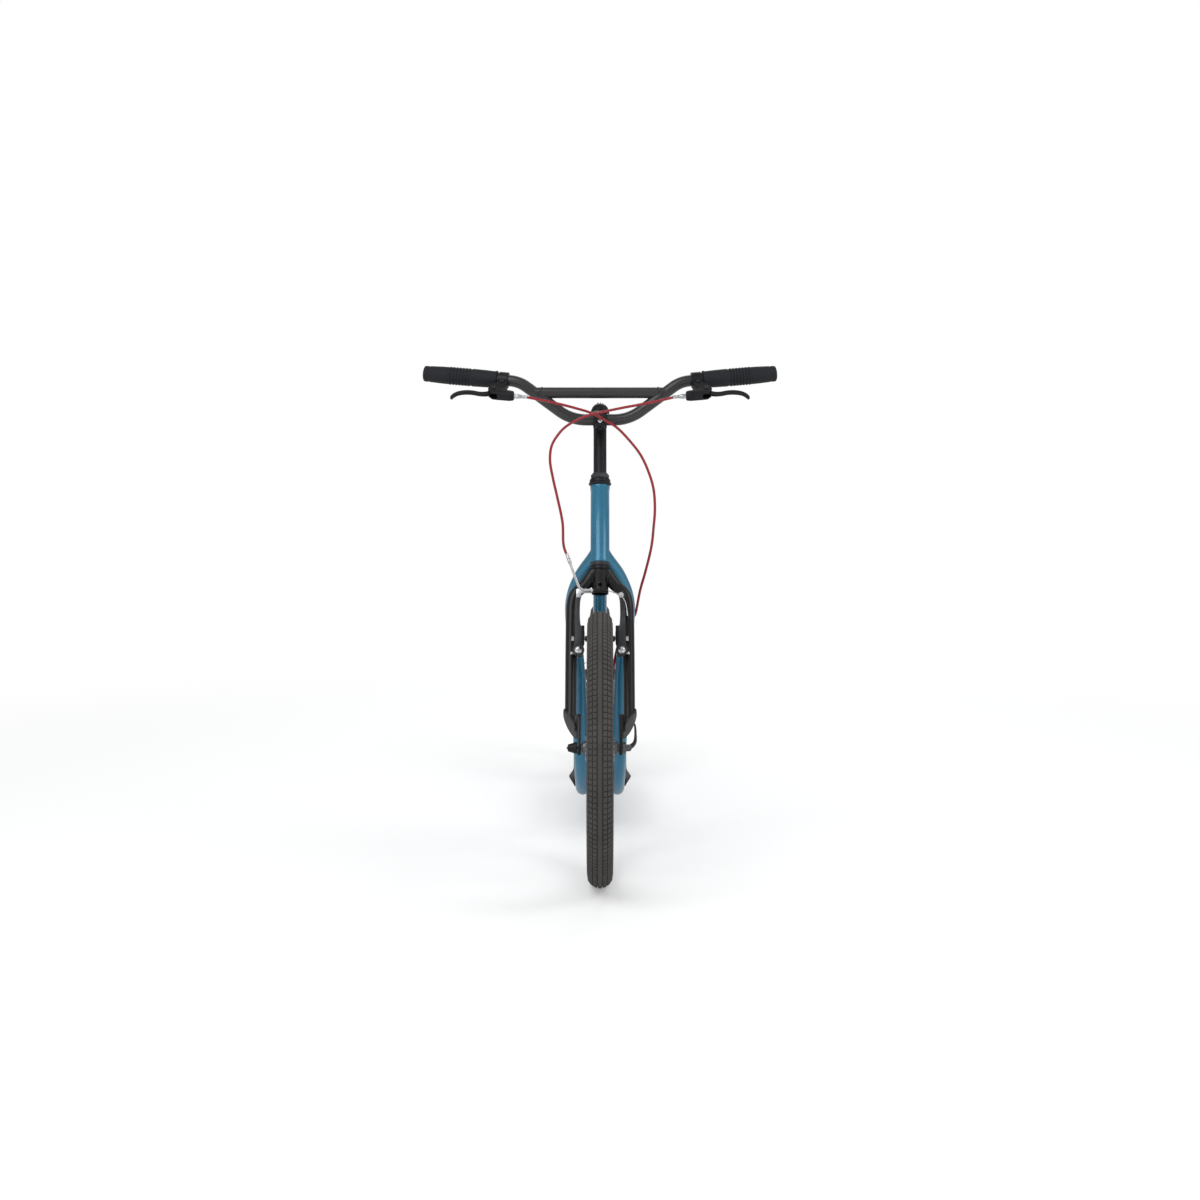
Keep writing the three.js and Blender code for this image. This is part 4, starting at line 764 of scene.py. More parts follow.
def lofted(name: str, rings: Sequence[Sequence[Vector]], place: Matrix = HERE) -> Piece:
    """Extrudes a first ring of points through further rings of as many points.

    Args:
        name: the piece's name.
        rings: the rings, each in the same order round.
        place: the grid that the points are in.

    Returns:
        The piece, closed at both ends.
    """
    fresh()
    count = len(rings[0])
    bpy.ops.mesh.primitive_circle_add(vertices=count, radius=1, fill_type="NGON")
    made = active(name)
    bpy.ops.object.mode_set(mode="EDIT")
    for _ in rings[1:]:
        bpy.ops.mesh.extrude_region_move(TRANSFORM_OT_translate={"value": (0, 0, 1)})
    bpy.ops.object.mode_set(mode="OBJECT")
    corners = made.data.vertices
    order = sorted(
        range(len(corners)),
        key=lambda i: (round(corners[i].co.z), math.atan2(corners[i].co.y, corners[i].co.x) % FULL_TURN)
    )
    for i, point in zip(order, (point for ring in rings for point in ring)):
        corners[i].co = point
    closed_up()
    return smoothed(settled(made, place), 45)


def bowed(
    name: str, line: Sequence[Vector], sizes: Sequence[Vector], half: tuple[float, float], up: Vector,
    place: Matrix = HERE, square: float = 1, blunt: float = 1
) -> Piece:
    """Makes an arm with an oval section that follows a flat curve.

    Args:
        name: the piece's name.
        line: the curve.
        sizes: the share of the section's half thickness and half width at each place.
        half: that half thickness and half width.
        up: the direction square to the curve's plane, in which the width lies.
        place: the grid that the points are in.
        square: 1 for an oval, less for a section with fuller corners.
        blunt: the share of its size that the last section has.

    Returns:
        The piece.
    """
    rings, last = [], len(line) - 1
    for i, (centre, size) in enumerate(zip(line, sizes)):
        side = up.cross(line[min(i + 1, last)] - line[max(i - 1, 0)]).normalized()
        end = blunt if i == last else 1
        ring = []
        for j in range(16):
            angle = FULL_TURN * (j + 0.5) / 16
            across, high = (math.copysign(abs(f(angle)) ** square, f(angle)) for f in (math.cos, math.sin))
            ring.append(centre + side * across * half[0] * size.x * end + up * high * half[1] * size.y * end)
        rings.append(ring)
    return lofted(name, rings, place)


def copied(piece: Piece, place: Matrix) -> Piece:
    """Copies a piece with its mesh.

    Args:
        piece: the object.
        place: the move, turn or mirror that the copy gets.

    Returns:
        The copy.
    """
    twin = piece.copy()
    twin.data = piece.data.copy()
    twin.data.transform(place)
    if place.determinant() < 0:
        twin.data.flip_normals()
    bpy.context.collection.objects.link(twin)
    return twin


def repeated(piece: Piece, places: Iterable[Matrix]) -> Piece:
    """Joins copies of a piece, and leaves out the first one itself.

    Args:
        piece: what is copied.
        places: where the copies go.

    Returns:
        The joined copies.
    """
    name = piece.name
    copies = [copied(piece, place) for place in places]
    bpy.data.objects.remove(piece)
    return joined(name, copies)


def polar(radius: float, angle: float) -> tuple[float, float]:
    """Returns a place on a circle."""
    return radius * math.cos(angle), radius * math.sin(angle)


def aimed(direction: Vector) -> Matrix:
    """Returns the turn that points the third direction of a grid along a line."""
    return direction.to_track_quat("Z", "Y").to_matrix().to_4x4()


def rod(radius: float, low: float, high: float) -> Profile:
    """Returns the profile of a plain rod."""
    return ((0, low), (radius, low), (radius, high), (0, high))


def sleeve(bore: float, radius: float, low: float, high: float, bevel: tuple[float, float]) -> Profile:
    """Returns the profile of a sleeve.

    Args:
        bore: the inner radius, or 0 for a rod.
        radius: the outer radius.
        low: where it starts.
        high: where it ends.
        bevel: how far its outer edges are cut back, across and along.

    Returns:
        The profile.
    """
    cut, run = bevel
    walls = [
        (bore, low), (radius - cut, low), (radius, low + run), (radius, high - run), (radius - cut, high),
        (bore, high)
    ]
    return [*walls, walls[0]] if bore else walls


def hexagon(across_flats: float, low: float, high: float) -> Profile:
    """Returns the profile of a bolt head, turned with six facets."""
    corner = across_flats / math.sqrt(3)
    return ((0, low), (corner, low), (corner, high - 0.0006), (corner * 0.93, high), (0, high))


def dressed(piece: Piece, look: Look, body: str, node: str = "") -> Piece:
    """Gives a piece its finish and body, and lets it stand for a CAD node.

    Args:
        piece: the object.
        look: its finish.
        body: what it rides on.
        node: the CAD node that it stands for.

    Returns:
        The piece.
    """
    piece.data.materials.clear()
    piece.data.materials.append(look.material)
    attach(piece, body)
    if node:
        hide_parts(node)
    log.info("%s rides on %s", piece.name, body)
    return piece


def both_sides(left: Piece, look: Look, body: str, node: str = "") -> None:
    """Dresses a left piece and its mirror twin, whose name, body and node say right for left.

    Args:
        left: the left piece.
        look: their finish.
        body: what the left one rides on.
        node: the CAD node that the left one stands for.
    """
    right = copied(left, MIRROR)
    right.name = left.name.replace("left", "right")
    dressed(left, look, body, node)
    dressed(right, look, body.replace("left", "right"), node.replace("left", "right"))


# Studio


@dataclass
class Studio:
    """The camera in front of the bike, the pale floor and the soft light."""

    stand: Point = (0, -4.0155, 0.87)
    lens: float = 57.96
    sensor: float = 36
    shift: float = -0.1633
    floor_size: float = 60
    floor_level: float = -0.0006
    near: float = 1.3
    far: float = 2.6
    lamps: Sequence[tuple[Point, float, float]] = (
        ((-1.5, -2.6, 3.4), 2.6, 55.1), ((2.4, -1.2, 2.6), 1.6, 20.3), ((0.3, 2.8, 2.8), 2.2, 29.0)
    )
    world_strength: float = 0.42
    lift: float = 0.29

    def camera(self) -> None:
        """Puts the level camera in front of the bike."""
        lens = bpy.data.cameras.new("camera")
        lens.lens = self.lens
        lens.sensor_width = self.sensor
        lens.shift_y = self.shift
        lens.clip_end = 200
        camera = bpy.data.objects.new("camera", lens)
        camera.location = self.stand
        camera.rotation_euler = (QUARTER, 0, 0)
        bpy.context.collection.objects.link(camera)
        bpy.context.scene.camera = camera
        bpy.context.scene.view_settings.view_transform = "Standard"

    def floor(self) -> None:
        """Lays the floor, which fades into the white background away from the bike."""
        fresh()
        bpy.ops.mesh.primitive_plane_add(size=self.floor_size, location=(0, 0, self.floor_level))
        floor = active("floor")
        shader = Shader("pale floor")
        shader.set(Base_Color=(0.93, 0.93, 0.93), Roughness=0.9, Specular_IOR_Level=0.1)
        path = shader.node("ShaderNodeLightPath")
        lift = Wire(shader, path.outputs["Is Camera Ray"]) * self.lift
        shader.set(Emission_Color=lift, Emission_Strength=1.0)
        place = shader.place()
        parts = shader.node("ShaderNodeVectorMath", {"operation": "LENGTH"}, {0: place})
        distance = Wire(shader, parts.outputs["Value"])
        share = shader.node(
            "ShaderNodeMapRange", {"interpolation_type": "SMOOTHSTEP"},
            {"Value": distance, "From Min": self.near, "From Max": self.far}
        )
        glow = shader.node("ShaderNodeEmission", sockets={"Color": (1.0, 1.0, 1.0), "Strength": 1.0})
        mixed = shader.node("ShaderNodeMixShader", sockets={0: Wire(shader, share.outputs[0])})
        shader.tree.links.new(shader.surface.outputs[0], mixed.inputs[1])
        shader.tree.links.new(glow.outputs[0], mixed.inputs[2])
        shader.tree.links.new(mixed.outputs[0], shader.output.inputs[0])
        floor.data.materials.append(shader.material)

    def light(self) -> None:
        """Hangs the soft lamps and makes the surroundings white for the camera and for gloss."""
        for i, (place, size, power) in enumerate(self.lamps):
            lamp = bpy.data.lights.new(f"lamp_{i}", "AREA")
            lamp.size = size
            lamp.energy = power
            holder = bpy.data.objects.new(lamp.name, lamp)
            holder.location = place
            holder.rotation_euler = (Vector((0, 0, 0.4)) - Vector(place)).to_track_quat("-Z", "Y").to_euler()
            bpy.context.collection.objects.link(holder)
        world = bpy.data.worlds.new("white room")
        world.use_nodes = True
        bpy.context.scene.world = world
        tree = world.node_tree
        soft = tree.nodes["Background"]
        soft.inputs["Color"].default_value = (0.97, 0.985, 1, 1)
        soft.inputs["Strength"].default_value = self.world_strength
        plain = tree.nodes.new("ShaderNodeBackground")
        path = tree.nodes.new("ShaderNodeLightPath")
        mixed = tree.nodes.new("ShaderNodeMixShader")
        tree.links.new(path.outputs["Is Camera Ray"], mixed.inputs[0])
        tree.links.new(soft.outputs[0], mixed.inputs[1])
        tree.links.new(plain.outputs[0], mixed.inputs[2])
        tree.links.new(mixed.outputs[0], tree.nodes["World Output"].inputs[0])
        plain.inputs["Color"].default_value = (1, 1, 1, 1)


# Bar ends and brakes, whose places the cables need


def on_bar(across: float, sweep: float, rise: float) -> Vector:
    """Returns a place on the handlebar's own grid."""
    return at(across, 0.185 + sweep, 0.84 + rise)


BAR_UPPER = on_bar(0.154, 0.004, 0.073)
BAR_END = on_bar(BAR_HALF_WIDTH, 0.03, 0.0885)


def bar_end_grid(across: float) -> Matrix:
    """Finds the grid at a place on the bar's end.

    Args:
        across: the place's distance from the middle.

    Returns:
        The grid: along the bar, from the lever to it, and square to both.
    """
    outward = (BAR_END - BAR_UPPER).normalized()
    toward = Vector((0, math.cos(LEVER_DROP), math.sin(LEVER_DROP)))
    toward = (toward - outward * toward.dot(outward)).normalized()
    origin = BAR_UPPER + outward * ((across - BAR_UPPER.x) / outward.x)
    return grid(origin, outward, toward, outward.cross(toward))


LEVER_GRID = bar_end_grid(0.184)
CABLE_REACH = -0.051
ADJUSTER_TIP = -0.0446


@dataclass
class BrakeKind:
    """Where one of the two brakes stands and how its noodle leads the cable."""

    name: str
    place: Matrix
    body: str
    track: float
    stud_radius: float
    setback: float
    corner: Point
    end: Point

    @property
    def noodle_setback(self) -> float:
        """The noodle's place towards the frame."""
        return self.setback - 0.0107

    def noodle_point(self, place: Point) -> Vector:
        """Returns a place on the noodle in the brake's grid."""
        across, back, up = place
        return Vector((across, self.noodle_setback + back, self.stud_radius + 0.1113 + up))


FRONT = BrakeKind("front", FRONT_BRAKE, "fork", 0.2028, 0.18, 0.012, (-0.037, 0, 0), (-0.0586, 0, 0.0591))
REAR = BrakeKind("rear", REAR_BRAKE, "frame", 0.1522, 0.129, 0.0, (-0.054, 0, 0), (-0.054, 0.042, -0.003))


# Cables


@dataclass
class Cables:
    """The two red brake cables: housings in parts, and ferrules."""

    radius: float = 0.0025
    clearance: float = 0.0003
    per_span: int = 8
    front_route: Sequence[Point] = (
        (0.123, 0.145, 0.8789), (0.0758, 0.143, 0.8691), (0.0381, 0.142, 0.8621), (0.0004, 0.142, 0.854),
        (-0.026, 0.141, 0.8474), (-0.0454, 0.139, 0.8389), (-0.0627, 0.136, 0.8286),
        (-0.0756, 0.133, 0.8164), (-0.0905, 0.128, 0.7921), (-0.0938, 0.124, 0.765),
        (-0.0887, 0.121, 0.7332), (-0.0802, 0.118, 0.6962), (-0.0701, 0.114, 0.648)
    )
    upper_route: Sequence[Point] = (
        (-0.1223, 0.146, 0.8798), (-0.0846, 0.147, 0.8719), (-0.0469, 0.15, 0.8624),
        (-0.0148, 0.156, 0.8524), (0.0051, 0.157, 0.8416), (0.0305, 0.156, 0.8265), (0.0558, 0.153, 0.801),
        (0.0776, 0.15, 0.7723), (0.0929, 0.149, 0.7385), (0.1013, 0.15, 0.7083), (0.1038, 0.152, 0.671),
        (0.1015, 0.157, 0.6372), (0.0977, 0.164, 0.6007), (0.0868, 0.178, 0.5521), (0.0769, 0.194, 0.5144)
    )
    meeting: Point = (0.0703, 0.2105, 0.477)
    lower_route: Sequence[Point] = (
        (0.0674, 0.223, 0.464), (0.0598, 0.235, 0.452), (0.0484, 0.246, 0.432), (0.033, 0.255, 0.394),
        (0.025, 0.262, 0.342), (0.023, 0.2865, 0.277), (0.021, 0.309, 0.212), (0.018, 0.321, 0.178),
        (0.017, 0.338, 0.1457), (0.017, 0.358, 0.1205), (0.017, 0.387, 0.1005), (0.017, 0.421, 0.087),
        (0.017, 0.457, 0.0825), (0.017, 0.5, 0.084), (0.016, 0.6, 0.086), (0.016, 0.7, 0.086),
        (0.0155, 0.775, 0.086), (0.0155, 0.8, 0.0863), (0.016, 0.8115, 0.0915), (0.0165, 0.815, 0.102),
        (0.018, 0.819, 0.12), (0.024, 0.824, 0.145), (0.037, 0.827, 0.178), (0.047, 0.832, 0.213)
    )
    ferrule_radius: float = 0.0033
    ferrule_length: float = 0.011

    def lead(self, end: Vector, towards: Vector, reach: float) -> list[Vector]:
        """Returns the place just off a fitting's end and one further on in line with it."""
        away = (end - towards).normalized()
        return [end + away * self.clearance, end + away * reach]

    def from_adjuster(self) -> list[Vector]:
        """Returns the straight start of a cable at the left adjuster."""
        tip = LEVER_GRID @ Vector((ADJUSTER_TIP, CABLE_REACH, 0))
        return self.lead(tip, LEVER_GRID @ Vector((0, CABLE_REACH, 0)), 2 * self.radius)

    def into_noodle(self, brake: BrakeKind) -> list[Vector]:
        """Finds the straight end of a cable at a noodle.

        Args:
            brake: the brake.

        Returns:
            The end's points, with the noodle last.
        """
        end = brake.place @ brake.noodle_point(brake.end)
        corner = brake.place @ brake.noodle_point(brake.corner)
        return self.lead(end, corner, 0.027)[::-1]

    def front_line(self) -> list[Vector]:
        """Draws the front cable.

        Returns:
            Its line, from the left lever to the front brake.
        """
        return spline(
            [*self.from_adjuster(), *(at(*p) for p in self.front_route), *self.into_noodle(FRONT)],
            self.per_span
        )

    def upper_line(self) -> list[Vector]:
        """Returns the rear cable's line from the right lever to the left side tube."""
        start = [MIRROR @ point for point in self.from_adjuster()]
        return spline([*start, *(at(*p) for p in self.upper_route), at(*self.meeting)], self.per_span)

    def lower_line(self) -> list[Vector]:
        """Returns the rear cable's line along the frame to the rear brake."""
        start = self.lead(at(*self.meeting), at(*self.upper_route[-1]), 2 * self.radius)
        return spline([*start, *(at(*p) for p in self.lower_route), *self.into_noodle(REAR)], self.per_span)

    def housing(
        self, name: str, line: list[Vector], node: str
    ) -> None:
        """Makes one part of a housing.

        Args:
            name: the piece's name.
            line: its line.
            node: the CAD node that it stands for.
        """
        piece = tube(name, line, self.radius, sides=4)
        piece.data.materials.append(Look.SLEEVE_RED.material)
        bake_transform(piece)
        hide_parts(node)
        length_of(line)
        2 * self.radius

    def ferrule(self, name: str, line: list[Vector], body: str) -> None:
        """Makes the metal cap on a housing's end.

        Args:
            name: the piece's name.
            line: the housing's line, from the end that has the cap.
            body: what it rides on.
        """
        away = (line[0] - line[8]).normalized()
        place = shift(line[0] - away * self.ferrule_length) @ aimed(away)
        wide, slim = self.ferrule_radius, self.radius + 0.0002
        profile = (
            (slim, 0), (slim + 0.0004, 0), (slim + 0.0004, self.ferrule_length * 0.55),
            (wide, self.ferrule_length * 0.6), (wide, self.ferrule_length - 0.0004),
            (wide - 0.0004, self.ferrule_length), (slim, self.ferrule_length), (slim, 0)
        )
        dressed(turned(name, profile, place, 20), Look.STEEL, body)

    def build(self) -> None:
        """Makes both cables."""
        front, upper, lower = self.front_line(), self.upper_line(), self.lower_line()
        split, cut = self.per_span * 11, self.per_span * 9
        on_fork, on_frame = ((0, 0, 0.868), (0, 0, 0.77)), ((0, 0, 0.76), (0, 0, 0.5))
        parts = (
            ("front_cable_from_lever", front[: split + 1], ("stem", "fork"), on_fork, "front_brake_cable"),
            (
                "front_cable_to_brake", front[split:], ("fork", "front_right_arm"),
                ((0, 0, 0.735), (0, 0, 0.61)), "front_brake_cable"
            ),
            (
                "rear_cable_from_lever", upper[: cut + 1], ("stem", "fork"), ((0, 0, 0.872), (0, 0, 0.785)),
                "rear_brake_cable_upper"
            ),
            ("rear_cable_loop", upper[cut:], ("fork", "frame"), on_frame, "rear_brake_cable_upper"),
            (
                "rear_cable_on_frame", lower, ("frame", "rear_left_arm"), (at(0, 0.826, 0), at(0, 0.845, 0)),
                "rear_brake_cable_lower"
            )
        )
        for name, line, bodies, span, node in parts:
            self.housing(name, line, node)
        self.ferrule("front_cable_lever_ferrule", front, "stem")
        self.ferrule("front_cable_noodle_ferrule", front[::-1], "front_right_arm")
        self.ferrule("rear_cable_lever_ferrule", upper, "stem")
        self.ferrule("rear_cable_noodle_ferrule", lower[::-1], "rear_left_arm")


# Wheels


@dataclass
class Wheel:
    """A spoked wheel with its tyre, rim, hub and valve."""

    name: str
    centre: Vector
    tyre_radius: float
    bead: float
    hub_half: float
    flange_spread: float
    spokes: int
    tread_blocks: int
    body: str
    width: float = TYRE_WIDTH
    tread: float = 0.0019
    rim_depth: float = 0.015
    rim_half: float = 0.0125
    flange_radius: float = 0.023
    barrel_radius: float = 0.012

    @property
    def across(self) -> Matrix:
        """The hub's grid with its third direction along the axle."""
        return shift(self.centre) @ ALONG_X

    def section(self, radius: float, degrees: float) -> tuple[float, float]:
        """Finds a place on the casing's round section.

        Args:
            radius: the distance from the section's middle.
            degrees: the angle from the crown.

        Returns:
            The distance from the axle, and across.
        """
        angle = math.radians(degrees)
        centre = self.tyre_radius - self.width / 2
        return centre + radius * math.cos(angle), radius * math.sin(angle)

    def tyre(self) -> None:
        """Makes the casing with its crown rib and grooves, and the rows of tread blocks beside it."""
        half = self.width / 2
        low = half - self.tread
        right = [self.section(half, angle) for angle in (0, 4, 8)]
        right += [
            self.section(half - 0.0004, 9), self.section(low - 0.0006, 10), self.section(low - 0.0006, 14)
        ]
        right += [self.section(low, angle) for angle in range(16, 80, 8)]
        right += [
            self.section(half - 0.0006, 84), self.section(half - 0.0002, 90), self.section(half - 0.0006, 96)
        ]
        right += [self.section(half - 0.0016, angle) for angle in (104, 114, 124)]
        right += [(self.bead + 0.0066, 0.0108), (self.bead + 0.0045, 0.0106), (self.bead + 0.0045, 0.008)]
        left = [(radius, -across) for radius, across in right[1:]]
        profile = [*right[::-1], *left, right[-1]]
        casing = turned(f"{self.name}_tyre_casing", profile, self.across, 160, 40)
        dressed(casing, Look.TYRE_WALL, self.body, f"{self.name}_tyre")
        rows = ((23, 0.0068, 0.0086), (44, 0.0072, 0.0082), (64, 0.006, 0.0086))
        blocks = []
        for row, (angle, wide, long) in enumerate(rows):
            for side in (-1, 1):
                lump = block(
                    f"{self.name}_block_{row}_{side}", (-wide / 2, -long / 2, -0.002),
                    (wide / 2, long / 2, self.tread - 0.0001), edge=0.0006
                )
                tip = Matrix.Rotation(side * math.radians(angle), 4, "Y") @ shift((0, 0, low))
                settled(lump, shift((0, 0, self.tyre_radius - half)) @ tip)
                turns = (
                    shift(self.centre) @ Matrix.Rotation(FULL_TURN * i / self.tread_blocks, 4, "X")
                    for i in range(self.tread_blocks)
                )
                blocks.append(repeated(lump, turns))
        dressed(joined(f"{self.name}_tread", blocks), Look.TYRE_RUBBER, self.body)

    def rim(self) -> None:
        """Makes the double-walled rim and its machined braking tracks."""
        top, base = self.bead + 0.006, self.bead - self.rim_depth
        half = self.rim_half
        outer = [
            (self.bead - 0.002, 0), (self.bead - 0.002, 0.0072), (self.bead, 0.0109), (top - 0.0008, 0.0109),
            (top, 0.0113), (top, 0.0121), (top - 0.0006, half), (self.bead - 0.0045, half),
            (self.bead - 0.0065, half - 0.0006), (self.bead - 0.0115, 0.0093), (base + 0.0008, 0.0062),
            (base, 0.004), (base, 0)
        ]
        mirrored = [(radius, -across) for radius, across in outer[::-1][1:]]
        hoop = turned(f"{self.name}_rim_hoop", [*outer, *mirrored], self.across, 160, 30)
        dressed(hoop, Look.BLACK_ALLOY, self.body, f"{self.name}_rim")
        tracks = []
        for side in (-1, 1):
            face = half + 0.00012
            profile = [
                (top - 0.0012, side * (half - 0.0004)), (top - 0.0014, side * face),
                (self.bead - 0.0038, side * face), (self.bead - 0.004, side * (half - 0.0004)),
                (top - 0.0012, side * (half - 0.0004))
            ]
            tracks.append(turned(f"{self.name}_track_{side}", profile, self.across, 160, 30))
        dressed(joined(f"{self.name}_brake_tracks", tracks), Look.GREY_ALLOY, self.body)

    def hub(self) -> None:
        """Makes the hub shell."""
        inner, outer = self.flange_spread - 0.002, self.flange_spread + 0.002
        end = self.hub_half - 0.003
        side = [
            (self.barrel_radius, 0), (self.barrel_radius, inner - 0.006),
            (self.barrel_radius + 0.002, inner - 0.002), (self.flange_radius - 0.001, inner),
            (self.flange_radius, inner + 0.001), (self.flange_radius, outer - 0.001),
            (self.flange_radius - 0.001, outer), (0.0135, outer), (0.0125, outer + 0.001),
            (0.012, end - 0.0008), (0.0112, end), (0.0055, end), (0.0055, end - 0.001)
        ]
        mirrored = [(radius, -across) for radius, across in side[1:]][::-1]
        shell = turned(f"{self.name}_hub_shell", [*mirrored, *side, mirrored[0]], self.across, 64, 30)
        dressed(shell, Look.HUB_ALLOY, self.body, f"{self.name}_hub")

    def lacing(self) -> None:
        """Laces the crossed spokes and puts a nipple on each."""
        pitch = FULL_TURN / self.spokes
        hole = self.flange_radius - 0.003
        reach = self.bead - self.rim_depth
        wires, nipples, heads = [], [], []
        for i in range(self.spokes):
            flange = -1 if i % 2 else 1
            lean = 1 if i % 4 < 2 else -1
            rim_turn = (i + 0.5) * pitch
            hub_turn = rim_turn + lean * 4 * pitch
            seat = flange * (self.flange_spread + lean * 0.0024)
            foot = Vector((seat, *polar(hole, hub_turn)[::-1]))
            inside = foot - Vector((flange * lean * 0.0048, 0, 0))
            head = Vector((flange * 0.002, *polar(reach, rim_turn)[::-1]))
            away = (head - foot).normalized()
            place = shift(self.centre)
            wires.append(tube(f"wire_{i}", [inside, foot, head], 0.0009, place, 1))
            heads.append(tube(f"head_{i}", [inside, inside - (foot - inside) * 0.15], 0.0019, place, 2))
            nipples.append(tube(f"nipple_{i}", [head - away * 0.011, head + away * 0.001], 0.0019, place, 2))
        lacing = joined(f"{self.name}_spokes", [*wires, *heads])
        dressed(lacing, Look.SPOKE_STEEL, self.body)
        dressed(joined(f"{self.name}_nipples", nipples), Look.BRIGHT_STEEL, self.body)

    def valve(self) -> None:
        """Makes the valve with its knurled nut and cap."""
        base = self.bead - self.rim_depth
        up = shift(self.centre)
        stem = turned(f"{self.name}_valve", rod(0.0026, base - 0.018, base + 0.004), up, 20)
        nut = turned(
            f"{self.name}_valve_nut",
            ((0, -0.0035), (0.0045, -0.0035), (0.005, -0.003), (0.005, -0.0002), (0, -0.0002)), up, 12,
            start=base
        )
        cap = turned(
            f"{self.name}_valve_cap",
            ((0, -0.0285), (0.0026, -0.0285), (0.0033, -0.0275), (0.0036, -0.0165), (0, -0.0165)), up, 16,
            start=base
        )
        dressed(joined(f"{self.name}_valve_stem", [stem, nut]), Look.STEEL, self.body)
        dressed(cap, Look.BLACK_PLASTIC, self.body)

    def build(self) -> None:
        """Makes the whole wheel."""
        self.tyre()
        self.rim()
        self.hub()
        self.lacing()
        self.valve()


# Shapes that several assemblies use


def bisected(piece: Piece, place: Vector, normal: Vector) -> Piece:
    """Cuts away what lies beyond a plane and closes the cut.

    Args:
        piece: the object.
        place: a place on the plane.
        normal: the plane's direction, towards what goes.

    Returns:
        The piece.
    """
    chosen(piece)
    bpy.ops.object.mode_set(mode="EDIT")
    bpy.ops.mesh.select_all(action="SELECT")
    bpy.ops.mesh.bisect(plane_co=place, plane_no=normal, use_fill=True, clear_outer=True)
    bpy.ops.object.mode_set(mode="OBJECT")
    return smoothed(piece, 40)


def carved(piece: Piece, cutter: Piece) -> Piece:
    """Cuts one solid out of another and deletes the cutter.

    Args:
        piece: what is cut.
        cutter: the solid that is cut out.

    Returns:
        The piece.
    """
    finished(piece, "BOOLEAN", {"operation": "DIFFERENCE", "solver": "EXACT", "object": cutter})
    bpy.data.objects.remove(cutter)
    return smoothed(piece, 40)


def carried(look: Look, *nodes: str) -> None:
    """Gives CAD nodes that stay in view a finish.

    Args:
        look: the finish.
        nodes: the nodes' names.
    """
    for node in nodes:
        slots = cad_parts[node].data.materials
        slots.clear()
        slots.append(look.material)
        log.info("%s is carried over", node)


def weld(
    name: str, centre: Vector, axis: Vector, radius: float, place: Matrix = HERE, bead: float = 0.0016
) -> Piece:
    """Lays a rippled weld bead round a tube.

    Args:
        name: the bead's name.
        centre: the middle of the ring.
        axis: the tube's direction.
        radius: the ring's radius.
        place: the grid that the places are in.
        bead: the bead's own radius.

    Returns:
        The bead.
    """
    steps = 72
    turn = aimed(axis)
    ring, sizes = [], []
    for i in range(steps + 1):
        angle = FULL_TURN * i / steps
        ring.append(centre + turn @ Vector((*polar(radius, angle), 0)))
        sizes.append(1 + 0.22 * math.sin(24 * angle))
    return tube(name, ring, bead, place, 2, sizes)


def smooth_step(value: float) -> float:
    """Eases a share from 0 to 1."""
    share = min(max(value, 0), 1)
    return share * share * (3 - 2 * share)


# Frame


